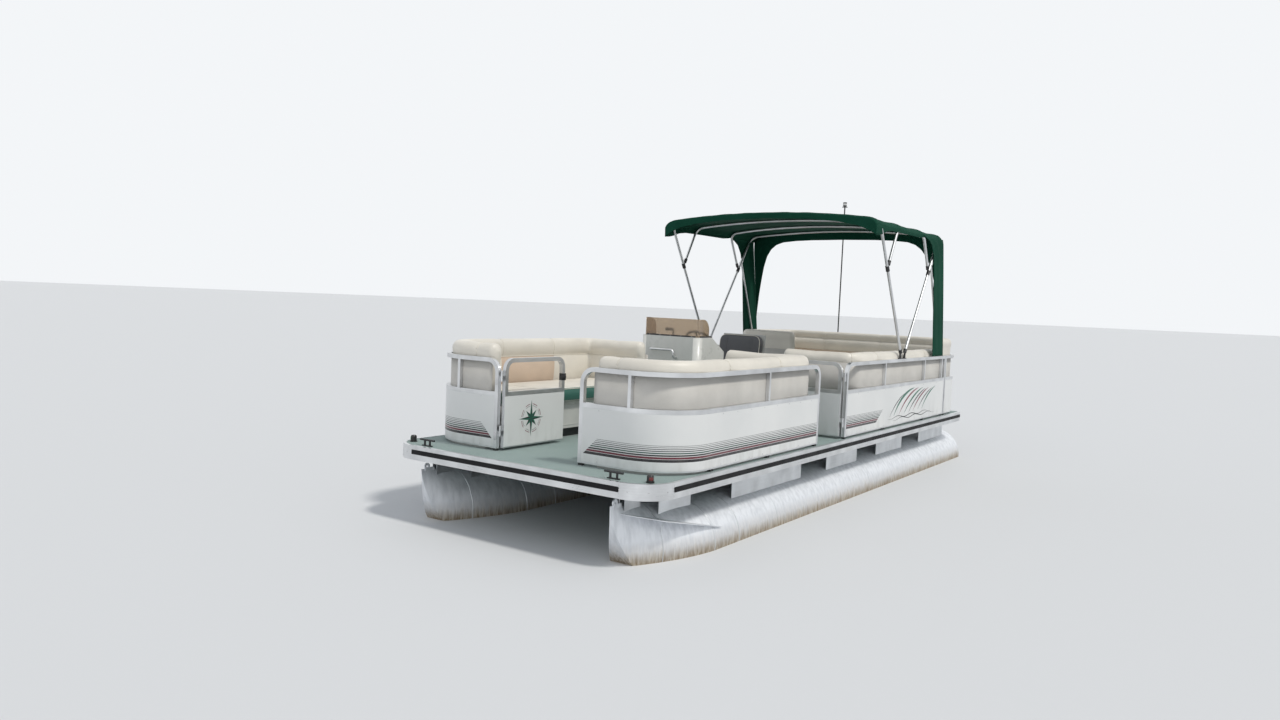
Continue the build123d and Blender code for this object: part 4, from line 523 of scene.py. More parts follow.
floor_look = Look("floor", (0.66, 0.67, 0.68), 0.9)
floor_mesh = bpy.data.meshes.new("floor")
floor_half = 400
floor_corners = ((-1, -1), (1, -1), (1, 1), (-1, 1))
corners = [(x * floor_half, y * floor_half, waterline) for x, y in floor_corners]
floor_mesh.from_pydata(corners, [], [(0, 1, 2, 3)])
floor_mesh.materials.append(floor_look.material)
placed("floor", floor_mesh)

world = bpy.data.worlds.new("world")
bpy.context.scene.world = world
world.use_nodes = True
sky = world.node_tree
plain = sky.nodes["Background"]
shown = sky.nodes.new("ShaderNodeBackground")
for background, color, strength in ((plain, (0.88, 0.93, 1.0), 0.55), (shown, (0.90, 0.92, 0.94), 1.0)):
    background.inputs["Color"].default_value = (*color, 1)
    background.inputs["Strength"].default_value = strength
rays = sky.nodes.new("ShaderNodeLightPath")
seen = rays.outputs["Is Camera Ray"]
for ray in ("Is Glossy Ray", "Is Transmission Ray"):
    either = sky.nodes.new("ShaderNodeMath")
    either.operation = "MAXIMUM"
    sky.links.new(seen, either.inputs[0])
    sky.links.new(rays.outputs[ray], either.inputs[1])
    seen = either.outputs["Value"]
choice = sky.nodes.new("ShaderNodeMixShader")
for index, source in enumerate((seen, plain.outputs[0], shown.outputs[0])):
    sky.links.new(source, choice.inputs[index])
sky.links.new(choice.outputs[0], sky.nodes["World Output"].inputs["Surface"])

lamps = (
    # name, strength, angle, colour, where it comes from
    ("sun", 1.8, 0.12, (1.0, 0.97, 0.92), (-0.06, 0.62, 1.0)),
    ("fill", 0.45, 1.2, (1.0, 1.0, 1.0), (1.0, 0.3, 0.45)),
)
for name, strength, angle, color, source in lamps:
    lamp_data = bpy.data.lights.new(name, "SUN")
    lamp_data.energy = strength
    lamp_data.angle = angle
    lamp_data.color = color
    lamp = placed(name, lamp_data)
    lamp.rotation_mode = "QUATERNION"
    lamp.rotation_quaternion = Vector(source).to_track_quat("Z", "Y")


# Soft goods
class Run:
    """A plan line that a backrest follows: places along it, and places found back from a point."""

    def __init__(self, corners, step=0.03, mirrored=False):
        self.points, self.length = rounded_path(corners, step)
        self.step = self.length / (len(self.points) - 1)
        self.mirrored = mirrored
        self.inward = []
        for i, point in enumerate(self.points):
            ahead = self.points[min(i + 1, len(self.points) - 1)] - self.points[max(i - 1, 0)]
            self.inward.append(Vector((-ahead.y, ahead.x)).normalized())
        self.tree = kdtree.KDTree(len(self.points))
        for i, point in enumerate(self.points):
            self.tree.insert((point.x, point.y, 0), i)
        self.tree.balance()

    def place(self, i, inset, height):
        spot = self.points[i] + self.inward[i] * inset
        return Vector((spot.x, -spot.y if self.mirrored else spot.y, deck_z + height))

    def find(self, point):
        """Distance along the line, inset from it and height of a point."""
        y = -point.y if self.mirrored else point.y
        _, i, _ = self.tree.find((point.x, y, 0))
        inset = (Vector((point.x, y)) - self.points[i]).dot(self.inward[i])
        return i * self.step, inset, point.z - deck_z


def softened(profile, rounds=2):
    """A closed outline with its corners cut, again and again."""
    for _ in range(rounds):
        cut = []
        for (a, b), (c, d) in zip(profile, profile[1:] + profile[:1]):
            cut.append((0.75 * a + 0.25 * c, 0.75 * b + 0.25 * d))
            cut.append((0.25 * a + 0.75 * c, 0.25 * b + 0.75 * d))
        profile = cut
    return profile


def bell(distance, width):
    return math.exp(-(distance / width) ** 2)


def sweep(name, run, profile, look, seams=(), end_round=0.045, shrink=0.0):
    """A closed profile of (inset, height) points along a run, with rounded ends and pinched seams."""
    insets, heights = zip(*profile)
    middle_inset = (min(insets) + max(insets)) / 2
    middle_height = (min(heights) + max(heights)) / 2
    half_inset = (max(insets) - min(insets)) / 2
    half_height = (max(heights) - min(heights)) / 2
    vertices = []
    for i in range(len(run.points)):
        along = i * run.step
        from_end = min(along, run.length - along)
        draw = shrink
        if from_end < end_round:
            draw += end_round - math.sqrt(max(0, end_round ** 2 - (end_round - from_end) ** 2))
        for seam in seams:
            draw += 0.007 * bell(along - seam, 0.02)
        across = max(0.12, (half_inset - draw) / half_inset)
        upright = max(0.12, (half_height - draw) / half_height)
        for inset, height in profile:
            vertices.append(run.place(
                i, middle_inset + (inset - middle_inset) * across,
                middle_height + (height - middle_height) * upright,
            ))
    return outward(make(name, vertices, capped(len(run.points), len(profile)), look))


def settle(piece, pinned, voxel=0.015, cap=0.010):
    """Fill a pad by cloth simulation: remeshed, blown up, held at its seams, and capped."""
    scene = bpy.context.scene
    looks_kept = list(piece.data.materials)
    remesh = piece.modifiers.new("remesh", "REMESH")
    remesh.mode = "VOXEL"
    remesh.voxel_size = voxel
    remesh.use_smooth_shade = True
    applied(piece)
    piece.data.materials.clear()
    for material in looks_kept:
        piece.data.materials.append(material)
    rest = [vertex.co.copy() for vertex in piece.data.vertices]
    group = piece.vertex_groups.new(name="held")
    for index, place in enumerate(rest):
        weight = pinned(place)
        if weight > 0.01:
            group.add([index], min(1, weight), "REPLACE")
    modifier = piece.modifiers.new("cloth", "CLOTH")
    filling = modifier.settings
    filling.use_pressure = True
    filling.uniform_pressure_force = 4.0
    filling.vertex_group_mass = "held"
    filling.effector_weights.gravity = 0
    filling.quality = 5
    modifier.point_cache.frame_start = 1
    modifier.point_cache.frame_end = 20
    for frame_number in range(1, 21):
        scene.frame_set(frame_number)
    graph = bpy.context.evaluated_depsgraph_get()
    blown = [vertex.co.copy() for vertex in piece.evaluated_get(graph).data.vertices]
    piece.modifiers.clear()
    piece.vertex_groups.clear()
    scene.frame_set(1)
    for vertex, before, after in zip(piece.data.vertices, rest, blown):
        move = after - before
        if move.length > cap:
            move *= cap / move.length
        vertex.co = before + move
    piece.data.update()
    smoothed(piece.data)


def color_faces(piece, names, choose):
    """Give each face the look whose number choose(centre, normal) returns."""
    piece.data.materials.clear()
    for name in names:
        piece.data.materials.append(looks[name].material)
    for face in piece.data.polygons:
        face.material_index = choose(face.center, face.normal)


def piped(name, piece, points, radius, look, body="hull"):
    """A piping cord that lies on a pad's skin along points near it."""
    skin = skin_of(piece.data)
    laid = []
    for point in points:
        spot, normal, _, _ = skin.find_nearest(point)
        laid.append(spot + normal * radius * 0.3 if spot else point)
    even = [(a + b * 2 + c) / 4 for a, b, c in zip(laid, laid[1:], laid[2:])]
    return tube(name, [laid[0], *even, laid[-1]], radius, look, body, sides=6)


def back_profile(top):
    """Backrest section: shelled rear, fat top roll, crease, and the pad below it."""
    return softened([
        (0.010, 0.3135), (0.118, 0.3135), (0.119, 0.40), (0.126, 0.455), (0.133, 0.53),
        (0.128, top - 0.172), (0.104, top - 0.152), (0.124, top - 0.134), (0.136, top - 0.078),
        (0.124, top - 0.016), (0.074, top + 0.006), (0.022, top - 0.006), (0.000, top - 0.046),
        (0.002, top - 0.088), (0.010, top - 0.100), (0.010, 0.50),
    ])


def two_roll_profile(top):
    """Stern backrest section: a smaller roll stands on a fat one, over the pad."""
    return softened([
        (0.010, 0.3135), (0.118, 0.3135), (0.119, 0.40), (0.126, 0.455), (0.134, 0.55),
        (0.128, 0.632), (0.106, 0.650), (0.126, 0.668), (0.138, 0.722), (0.128, 0.776),
        (0.092, 0.797), (0.106, 0.815), (0.112, 0.852), (0.098, top - 0.004), (0.056, top + 0.005),
        (0.016, top - 0.008), (0.000, top - 0.042), (0.003, top - 0.085), (0.010, top - 0.098), (0.010, 0.50),
    ])


back_offset = 0.0323
front_x = bow_x - fence_front - back_offset
side_y = fence_side - back_offset
stern_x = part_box("backrest_stern")[0].x
corner = 0.42 - back_offset
stern_corner = 0.30 - back_offset
turn_corner = 0.142


def bow_run(node, inner, mirrored):
    """Line of a bow backrest, from the gate round the bow corner to its end across the boat."""
    end_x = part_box(node)[0].x
    return Run([
        (front_x, bow_back_start, 0), (front_x, side_y, corner),
        (end_x, side_y, turn_corner), (end_x, inner, 0),
    ], mirrored=mirrored)


bow_back_start = 0.48
bow_port_run = bow_run("backrest_bow_port", 0.33, False)
bow_starboard_run = bow_run("backrest_bow_starboard", 0.43, True)
aft_low, aft_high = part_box("backrest_aft_port")
aft_run = Run([(aft_high.x, 0.39, 0), (aft_high.x, side_y, turn_corner), (aft_low.x, side_y, 0)])
stern_start = bow_x - 6.063
starboard_front = bow_x - 5.35
stern_run = Run([
    (stern_start, side_y, 0), (stern_x, side_y, stern_corner), (stern_x, -side_y, stern_corner),
    (starboard_front, -side_y, turn_corner), (starboard_front, -0.425, 0),
])

arc = corner * math.pi / 2
straight_start = (side_y - corner) - bow_back_start + arc


def side_seam(station):
    """Distance along a bow run of a station on its straight side."""
    return straight_start + (station - fence_front - 0.42)


backs = (
    # place, run, profile, seams, roll creases (inset, height), stations of the tan panels of painted shade
    # under the roll
    ("bow_port", bow_port_run, back_profile(0.770),
     (0.17, side_seam(1.06), side_seam(1.86)), ((0.112, 0.618),), (1.06, 1.86)),
    ("bow_starboard", bow_starboard_run, back_profile(0.795),
     (0.17, side_seam(1.02), side_seam(1.70)), ((0.112, 0.643),), (1.02, 1.70)),
    ("aft_port", aft_run, back_profile(0.770), (0.72, 1.30, 2.02, 2.74), ((0.112, 0.618),), (3.9, 5.5)),
    ("stern", stern_run, two_roll_profile(0.885),
     (0.62, 1.36, 2.10, 2.76), ((0.112, 0.650), (0.098, 0.797)), (5.3, 6.7)),
)
shell_top = 0.672
shell_profile = [(0.0012, 0.316), (0.0095, 0.316), (0.0095, shell_top), (0.0012, shell_top)]
for place_name, run, profile, seams, creases, shade_panel_stations in backs:
    name = f"back_pad_{place_name}"
    pad = sweep(name, run, profile, "cream", seams, shrink=0.004)
    crease_heights = [height for _, height in creases]
    roll_low = crease_heights[0]

    def held(place, run=run, seams=seams, heights=crease_heights):
        along, inset, height = run.find(place)
        near = max([bell(along - seam, 0.02) for seam in seams])
        if inset > 0.06:
            near = max([near] + [bell(height - crease, 0.014) for crease in heights])
        if inset < 0.03 and height < heights[0] + 0.02:
            near = 1
        return near if height > 0.33 else 1

    settle(pad, held)

    # Painted shade: the pad's inner face below the lowest crease, between the given stations, takes the
    # darker tan vinyl that stands in for the shade under the roll
    def panel(centre, normal, run=run, low=roll_low, part=shade_panel_stations):
        _, inset, height = run.find(centre)
        return 1 if height < low and inset > 0.05 and part[0] < bow_x - centre.x < part[1] else 0

    color_faces(pad, ("cream", "tan"), panel)
    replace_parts(pad, f"backrest_{place_name}")
    places = range(2, len(run.points) - 2)
    for number, (inset, height) in enumerate(creases):
        line = [run.place(i, inset + 0.004, height) for i in places]
        piped(f"{name}_welt_{number + 1}", pad, line, 0.0035, "piping")
    # Seams run over the roll, above the lowest crease
    start = max(range(len(profile)), key=lambda k: -profile[k][0] if profile[k][1] > roll_low else -9)
    over_roll = [p for p in reversed(profile[start:] + profile[:start]) if p[1] > roll_low]
    for number, seam in enumerate(seams):
        i = min(len(run.points) - 1, max(0, round(seam / run.step)))
        ring = [run.place(i, inset, height) for inset, height in over_roll]
        piped(f"{name}_seam_{number + 1}", pad, ring, 0.0026, "piping")
    # The moulded shell behind the pad, seen between the fence's rails
    sweep(f"{name}_shell", run, shell_profile, "shell", end_round=0.004)


# Seat cushions: cream tops, green boxing towards the aisle, piping round their upper edges
def densified(outline, step=0.03):
    """A closed plan outline with points at even steps."""
    dense = []
    for (x0, y0), (x1, y1) in zip(outline, outline[1:] + outline[:1]):
        count = max(1, round(math.hypot(x1 - x0, y1 - y0) / step))
        for k in range(count):
            dense.append((x0 + (x1 - x0) * k / count, y0 + (y1 - y0) * k / count))
    return dense


def rounded_outline(x0, x1, y0, y1, radii):
    """A rectangle in plan with rounded corners: fore port, aft port, aft starboard, fore starboard."""
    corners = ((x1, y1, -1, -1), (x0, y1, 1, -1), (x0, y0, 1, 1), (x1, y0, -1, 1))
    starts = (0, 90, 180, 270)
    outline = []
    for (x, y, sx, sy), start, radius in zip(corners, starts, radii):
        steps = max(2, round(radius / 0.02))
        for k in range(steps + 1):
            angle = math.radians(start + 90 * k / steps)
            out, over = radius * math.cos(angle), radius * math.sin(angle)
            outline.append((x + sx * radius + out, y + sy * radius + over))
    return outline


cushion_rings = (
    # draw-in from the edge, share of the height
    (0.016, 0.0), (0.004, 0.05), (0.0, 0.20), (0.001, 0.55), (0.003, 0.78), (0.010, 0.91), (0.024, 0.975),
    (0.05, 1.0), (0.10, 1.0),
)


def drawn(value, middle, half, draw):
    """A coordinate drawn in towards a pad's middle."""
    return middle + (value - middle) * ((half - draw) / half)


def crowned(name, outline, place, apex, look, body):
    """A pad over a plan outline; place puts each point of its rings, and apex closes its top."""
    vertices = [place(x, y, draw, share) for draw, share in cushion_rings for x, y in outline]
    size = len(outline)
    top, last = len(vertices) - size, len(vertices)
    faces = quads(len(cushion_rings), size)
    faces += [(top + k, top + (k + 1) % size, last) for k in range(size)]
    faces.append(tuple(reversed(range(size))))
    return outward(make(name, vertices + [apex], faces, look, body))


def cushion(name, sides, radii, low, high, body, boxed, seams=(), nodes=()):
    """A crowned seat cushion between x0, x1, y0 and y1; boxed tells which way its green sides face."""
    x0, x1, y0, y1 = sides
    cx, cy, hx, hy = (x0 + x1) / 2, (y0 + y1) / 2, (x1 - x0) / 2, (y1 - y0) / 2
    outline = densified(rounded_outline(*sides, radii))
    room = 0.004

    def place(x, y, draw, share):
        height = low + room + (high - low - 2 * room) * share
        return drawn(x, cx, hx, draw + room), drawn(y, cy, hy, draw + room), height

    pad = crowned(name, outline, place, (cx, cy, high - room + 0.004), "cream", body)
    edge_high = low + 0.90 * (high - low)

    def held(place):
        near = 1 if place.z < low + 0.012 else bell(place.z - edge_high, 0.008) * 0.9
        return max([near] + [bell(place[axis] - where, 0.016) for axis, where in seams])

    settle(pad, held, voxel=0.014, cap=0.009)
    for vertex in pad.data.vertices:
        for axis, where in seams:
            if vertex.co.z > edge_high:
                vertex.co.z -= 0.005 * bell(vertex.co[axis] - where, 0.012)

    def panel(centre, normal):
        side = abs(normal.z) < 0.72 and centre.z < edge_high
        return 1 if side and any(Vector(way).dot(normal) > 0.35 for way in boxed) else 0

    color_faces(pad, ("cream", "green"), panel)
    ring = [Vector((drawn(x, cx, hx, 0.006), drawn(y, cy, hy, 0.006), edge_high)) for x, y in outline]
    piped(f"{name}_welt", pad, ring + ring[:1], 0.0035, "piping", body)
    for number, (axis, where) in enumerate(seams):
        first, last = (y0 + 0.03, y1 - 0.03) if axis == 0 else (x0 + 0.03, x1 - 0.03)
        line = []
        for k in range(19):
            other = first + (last - first) * k / 18
            line.append(Vector((where, other, high + 0.01) if axis == 0 else (other, where, high + 0.01)))
        piped(f"{name}_seam_{number + 1}", pad, line, 0.0025, "piping", body)
    if nodes:
        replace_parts(pad, *nodes)


aisle_port, aisle_starboard, forward, astern = (0, -1, 0), (0, 1, 0), (1, 0, 0), (-1, 0, 0)
small_corners = (0.02, 0.02, 0.02, 0.02)
for place_name, ways in (
    ("bow_port", (aisle_port, astern)),
    ("bow_starboard", (aisle_starboard, astern)),
    ("aft_port", (aisle_port, forward)),
):
    low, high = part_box(f"seat_lid_{place_name}")
    cushion(
        f"cushion_lid_{place_name}", (low.x, high.x, low.y, high.y), small_corners, low.z, high.z,
        f"{place_name}_lid", ways, ((0, (low.x + high.x) / 2),), (f"seat_lid_{place_name}",),
    )

pad_low, pad_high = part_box("seat_cushions_fixed")
pad_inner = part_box("seat_lid_bow_port")[0].y
corner_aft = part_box("seat_lid_bow_port")[1].x + 0.008
bench_x = bow_x - 5.95
port_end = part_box("seat_lid_aft_port")[0].x - 0.008
starboard_end = bow_x - 5.488
bow_round, stern_round = 0.2497, 0.1297
fixed_pads = (
    # name, sides, corner radii, green sides, seams, nodes replaced
    ("bow_corner_port", (corner_aft, pad_high.x, pad_inner, pad_high.y), (bow_round, 0.02, 0.02, 0.02),
     (aisle_port, forward), (), ("seat_cushions_fixed",)),
    ("bow_corner_starboard", (corner_aft, pad_high.x, -pad_high.y, -pad_inner), (0.02, 0.02, 0.02, bow_round),
     (aisle_starboard, forward), (), ("seat_cushions_fixed",)),
    ("stern_port", (bench_x + 0.002, port_end, pad_inner, pad_high.y), small_corners, (aisle_port,), (), ()),
    ("stern_bench", (pad_low.x, bench_x, -pad_high.y, pad_high.y), (0.02, stern_round, stern_round, 0.02),
     (forward,), ((1, -0.42), (1, 0.42)), ()),
    ("stern_starboard", (bench_x + 0.002, starboard_end, -pad_high.y, -pad_inner), small_corners,
     (aisle_starboard, forward), (), ()),
)
for name, sides, radii, ways, seams, nodes in fixed_pads:
    cushion(f"cushion_{name}", sides, radii, pad_low.z, pad_high.z, "hull", ways, seams, nodes)


# Helm chair: a seat pad and a back pad with rolled edges and cream piping
def chair_pad(name, matrix, width, depth, thick):
    """A pad in its own frame: x across its width, y along its depth, z its thickness upwards."""
    hx, hy = width / 2, depth / 2
    outline = densified(rounded_outline(-hx, hx, -hy, hy, (0.07,) * 4), 0.025)

    def place(x, y, draw, share):
        return matrix @ Vector((x * (hx - draw) / hx, y * (hy - draw) / hy, thick * share))

    pad = crowned(name, outline, place, matrix @ Vector((0, 0, thick + 0.004)), "chair", "helm_chair")
    inverse = matrix.inverted()
    channel = 0.30 * width

    def held(place):
        local = inverse @ place
        near = 1 if local.z < 0.012 else bell(local.z - 0.9 * thick, 0.006)
        return max(near, bell(abs(local.x) - channel, 0.010) if local.z > 0.8 * thick else 0)

    settle(pad, held, voxel=0.010, cap=0.009)
    rim = [place(x, y, 0.004, 0.9) for x, y in outline]
    piped(f"{name}_piping", pad, rim + rim[:1], 0.0042, "piping", "helm_chair")
    for side, hand in ((-1, "left"), (1, "right")):
        spots = [(side * channel, depth * (k / 16 - 0.5) * 0.84, thick + 0.01) for k in range(17)]
        line = [matrix @ Vector(spot) for spot in spots]
        piped(f"{name}_channel_{hand}", pad, line, 0.0022, "chair", "helm_chair")
    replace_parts(pad, "helm_chair_cushion")


def frame_of(across, along, facing, origin):
    """A matrix from three axes and an origin."""
    columns = (across, along, facing, origin)
    return Matrix([[column[i] for column in columns] for i in range(3)] + [[0, 0, 0, 1]])


chair_low, chair_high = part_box("helm_chair_cushion")
chair_y = (chair_low.y + chair_high.y) / 2
chair_width = chair_high.y - chair_low.y - 0.012
seat_front, seat_back = chair_high.x, chair_low.x + 0.062
seat_middle = ((seat_front + seat_back) / 2, chair_y, chair_low.z + 0.002)
seat_matrix = frame_of((0, -1, 0), (1, 0, 0), (0, 0, 1), seat_middle)
chair_pad("helm_seat_pad", seat_matrix, chair_width, seat_front - seat_back - 0.01, 0.086)
back_height = chair_high.z - chair_low.z - 0.095
lean = math.atan2(0.058, chair_high.z - chair_low.z)
back_middle = (chair_low.x + 0.035, chair_y, chair_low.z + 0.094 + back_height / 2)
back_up, back_facing = (-math.sin(lean), 0, math.cos(lean)), (math.cos(lean), 0, math.sin(lean))
back_matrix = frame_of((0, 1, 0), back_up, back_facing, back_middle)
chair_pad("helm_back_pad", back_matrix, chair_width, back_height, 0.084)


# Canopy: one cloth stretched over the four bows, with hems and legs laced to the rear poles
canopy_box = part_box("bimini_canopy")
canopy_front = canopy_box[1].x
canopy_aft = canopy_box[0].x
bow_tops = (bow_x - 3.720, bow_x - 4.330, bow_x - 5.010, bow_x - 5.640)
crown = canopy_box[1].z - 0.004
side_half = canopy_box[1].y - 0.006
arch_points = (
    # share of the half width, height under the crown
    (0.0, 0.0), (0.2, 0.0020), (0.4, 0.0105), (0.6, 0.025), (0.75, 0.040), (0.88, 0.054), (0.93, 0.063),
    (0.965, 0.078), (0.988, 0.102), (1.0, 0.128),
)


def blend_table(table, x):
    """Value at x of a table of (x, value) rows, on straight lines between them."""
    for (x0, v0), (x1, v1) in zip(table, table[1:]):
        if x <= x1:
            return v0 + (v1 - v0) * (x - x0) / (x1 - x0)
    return table[-1][1]


def canopy_point(x, share):
    """A point of the cloth: it lies on the bows and dips between them."""
    drop = blend_table(arch_points, abs(share))
    dip = 0.0
    for aft_bow, fore_bow in zip(bow_tops[1:], bow_tops):
        if aft_bow < x < fore_bow:
            t = (x - aft_bow) / (fore_bow - aft_bow)
            dip = 4 * t * (1 - t) * (0.022 - 0.012 * abs(share))
    if x > bow_tops[0]:
        dip = 0.016 * ((x - bow_tops[0]) / (canopy_front - bow_tops[0])) ** 2
    if x < bow_tops[-1]:
        dip = 0.016 * ((bow_tops[-1] - x) / (bow_tops[-1] - canopy_aft)) ** 2
    wrinkle = 0.0016 * math.sin(31 * x + 5 * share) * math.sin(9 * share * 3.1 + 2 * x)
    edge = side_half - 0.012 * (1 - math.cos(2 * math.pi * min(1, max(0, (x - canopy_aft) / 0.61)))) * 0.3
    return Vector((x, share * edge, crown - drop - dip + wrinkle))


def run_length(points):
    return sum((Vector(b) - Vector(a)).length for a, b in zip(points, points[1:]))


def lay(name, rows, step=1, widest=False, thickness=0.003):
    """A cloth of its real thickness from rows of points, with its flat size measured on them."""
    vertices = [p for row in rows for p in row]
    faces = quads(len(rows), len(rows[0]), around=False)
    area = 0.0
    for face in faces:
        p, q, r, s = (vertices[n] for n in face)
        area += ((r - p).cross(s - q)).length / 2
    cloth_piece = make(name, vertices, faces, "canopy")
    thicken(cloth_piece, thickness, 0)
    smoothed(cloth_piece.data)
    width = max(run_length(row) for row in (rows if widest else rows[:1]))
    depth = max(run_length([row[k] for row in rows]) for k in range(0, len(rows[0]), step))
    area = max(0.3 * width * depth, min(area, width * depth))
    return cloth_piece


shares = []
for k in range(-60, 61):
    t = k / 60
    shares.append(math.copysign(1 - (1 - abs(t)) ** 1.35, t) if t else 0.0)
lines = [canopy_aft + (canopy_front - canopy_aft) * i / 84 for i in range(85)]
grid = [[canopy_point(x, share) for share in shares] for x in lines]
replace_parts(lay("canopy_top", grid, step=10, widest=True), "bimini_canopy")

# Hanging hems at the two ends and along the two sides
leg_head = 1.988
rake = 0.1856
aft_hem_low = (
    # distance from the middle, height above the deck
    (0.0, 1.994), (0.40, 1.990), (0.60, 1.982), (0.78, 1.964), (0.87, 1.934), (0.94, 1.880), (1.00, 1.795),
    (1.05, 1.665), (1.09, 1.510), (1.13, 1.330), (1.165, 1.120), (1.19, 0.930),
)
fore_hem_low = (
    (0.0, 2.046), (0.50, 2.032), (0.80, 2.002), (1.00, 1.962), (1.10, 1.922), (1.16, 1.886), (1.20, 1.868),
)
side_hem_low = (
    # distance aft of the cloth's fore edge, height above the deck
    (0.0, 1.868), (0.09, 1.876), (0.18, 1.895), (0.28, 1.926), (0.42, 1.943), (0.75, 1.948), (1.25, 1.950),
    (1.38, 1.962), (1.50, leg_head), (2.10, leg_head),
)
split = next(k for k, share in enumerate(shares) if share >= 0.70)
end = len(shares) - 1
hems = (
    # name, lower edge, x, lean, first and last column
    ("canopy_fore_hem", fore_hem_low, canopy_front, -0.006, 0, end),
    ("canopy_aft_hem", aft_hem_low, canopy_aft, 0.006, end - split, split),
    ("canopy_aft_gusset_port", aft_hem_low, canopy_aft, 0.006, split, end),
    ("canopy_aft_gusset_starboard", aft_hem_low, canopy_aft, 0.006, 0, end - split),
)
for name, low_edge, x, step_x, first, last in hems:
    fore = low_edge is fore_hem_low
    rows = []
    for j in range(15):
        t = j / 14
        row = []
        for share in shares[first:last + 1]:
            top = canopy_point(x, share)
            drop = (top.z - (deck_z + blend_table(low_edge, abs(top.y)))) * t
            ripple = 0.003 * math.sin(23 * share + (1 if fore else 2)) * t
            raked = 0 if fore else -rake * max(0, drop - 0.10)
            row.append(Vector((x + step_x * t + ripple + raked, top.y * (1 - 0.002 * t), top.z - drop)))
        rows.append(row)
    lay(name, rows)

for side, hand in hands:
    rows = []
    for j in range(5):
        t = j / 4
        row = []
        for x in lines:
            top = canopy_point(x, side)
            low_z = min(top.z - 0.006, deck_z + blend_table(side_hem_low, canopy_front - x))
            row.append(Vector((x, top.y - side * 0.002 * t, top.z + (low_z - top.z) * t)))
        rows.append(row)
    lay(f"canopy_side_hem_{hand}", rows, step=6)

# Legs: cloth gussets laced to the rear poles, each one sheet with slack folds
leg_fore = (
    # height above the deck, station of the fore edge
    (0.691, 5.560), (1.30, 5.475), (1.60, 5.430), (1.80, 5.372), (1.90, 5.290), (1.945, 5.200),
    (1.965, 5.110), (leg_head, 5.020),
)
leg_low, leg_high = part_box("canopy_legs")
leg_y = leg_high.y - 0.0025
leg_foot = leg_low.z - deck_z


def leg_aft(height):
    """Station of a leg's aft edge at a height above the deck."""
    return 5.686 + (leg_head - height) * rake


for side, hand in hands:
    rows = []
    for i in range(61):
        height = leg_head + (leg_foot + 0.003 - leg_head) * i / 60
        fore, rear = blend_table(leg_fore, height), leg_aft(height)
        row = []
        for k in range(19):
            u = k / 18
            fold = 0.0018 * math.sin(2 * math.pi * (2.3 * u + 0.55 * height) + side)
            slack = 0.0016 * math.sin(17 * height + 3 * u) * math.sin(math.pi * u)
            tuck = -0.007 * bell(height - leg_head, 0.03)
            row.append(at(fore + (rear - fore) * u, side * (leg_y - 0.001 + fold + slack + tuck), height))
        rows.append(row)
    leg = lay(f"canopy_leg_{hand}", rows, step=3, widest=True, thickness=0.0025)
    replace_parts(leg, "canopy_legs")
    for edge, k in (("fore", 0), ("aft", 18)):
        line = [row[k] for row in rows][::2]
        tube(f"canopy_leg_{edge}_hem_{hand}", line, 0.0032, "canopy", sides=6)


# Small solids
class Shapes:
    """Several solid shapes gathered in one mesh piece."""

    def __init__(self):
        self.work = bmesh.new()

    def box(self, low, high, bevel=0.002, turn=None):
        low, high = Vector(low), Vector(high)
        made = bmesh.ops.create_cube(self.work, size=1)
        placing = Matrix.Translation((low + high) / 2) @ (turn or Matrix())
        shape = placing @ Matrix.Diagonal((*(high - low), 1))
        bmesh.ops.transform(self.work, matrix=shape, verts=made["verts"])
        edges = list({edge for vertex in made["verts"] for edge in vertex.link_edges})
        bmesh.ops.bevel(self.work, geom=edges, offset=bevel, segments=2, affect="EDGES", profile=0.6)
        return self

    def rod(self, start, end, radius, end_radius=None, sides=16):
        start, end = Vector(start), Vector(end)
        along = end - start
        end_radius = radius if end_radius is None else end_radius
        made = bmesh.ops.create_cone(
            self.work, cap_ends=True, segments=sides, radius1=radius, radius2=end_radius, depth=along.length,
        )
        turn = along.to_track_quat("Z", "Y").to_matrix().to_4x4()
        shape = Matrix.Translation((start + end) / 2) @ turn
        bmesh.ops.transform(self.work, matrix=shape, verts=made["verts"])
        return self

    def turned(self, foot, normal, profile, sides=14):
        """A form turned round a normal, from (radius, height) points; it closes at its top."""
        turn = Vector(normal).to_track_quat("Z", "Y").to_matrix()
        rings = []
        for radius, height in profile:
            ring = []
            for k in range(sides):
                angle = 2 * math.pi * k / sides
                spot = Vector((radius * math.cos(angle), radius * math.sin(angle), height))
                ring.append(self.work.verts.new(Vector(foot) + turn @ spot))
            rings.append(ring)
        for lower, upper in zip(rings, rings[1:]):
            for k in range(sides):
                self.work.faces.new((lower[k], lower[(k + 1) % sides], upper[(k + 1) % sides], upper[k]))
        self.work.faces.new(rings[-1])
        self.work.faces.new(list(reversed(rings[0])))
        return self

    def head(self, foot, normal, radius, height, sides=10):
        """A low rounded head, such as a screw's or a rivet's."""
        rounds = ((1, 0.0), (0.94, 0.45), (0.70, 0.83), (0.3, 1))
        return self.turned(foot, normal, [(radius * out, height * up) for out, up in rounds], sides)

    def done(self, name, look, body="hull"):
        mesh = bpy.data.meshes.new(name)
        self.work.to_mesh(mesh)
        self.work.free()
        smoothed(mesh)
        mesh.set_sharp_from_angle(angle=math.radians(35))
        return piece_of(name, mesh, look, body)


def around(middle, low, high):
    """Two corners of a box, given from a middle."""
    return middle + Vector(low), middle + Vector(high)


upwards = (0, 0, 1)


# Painted art: generic motifs as thin films on the panels
def film(name, outlines, plane_y, look, body="hull"):
    """Flat shapes from (station, height) outlines, just off a panel's outer face."""
    vertices, faces = [], []
    for outline in outlines:
        first, size = len(vertices), len(outline)
        for lift in (0.0001, 0.0005):
            vertices += [at(station, plane_y + lift, height) for station, height in outline]
        faces.append(tuple(range(first, first + size)))
        faces.append(tuple(reversed(range(first + size, first + 2 * size))))
        for k in range(size):
            a, b = first + k, first + (k + 1) % size
            faces.append((a, a + size, b + size, b))
    outward(make(name, vertices, faces, look, body, smooth=False))


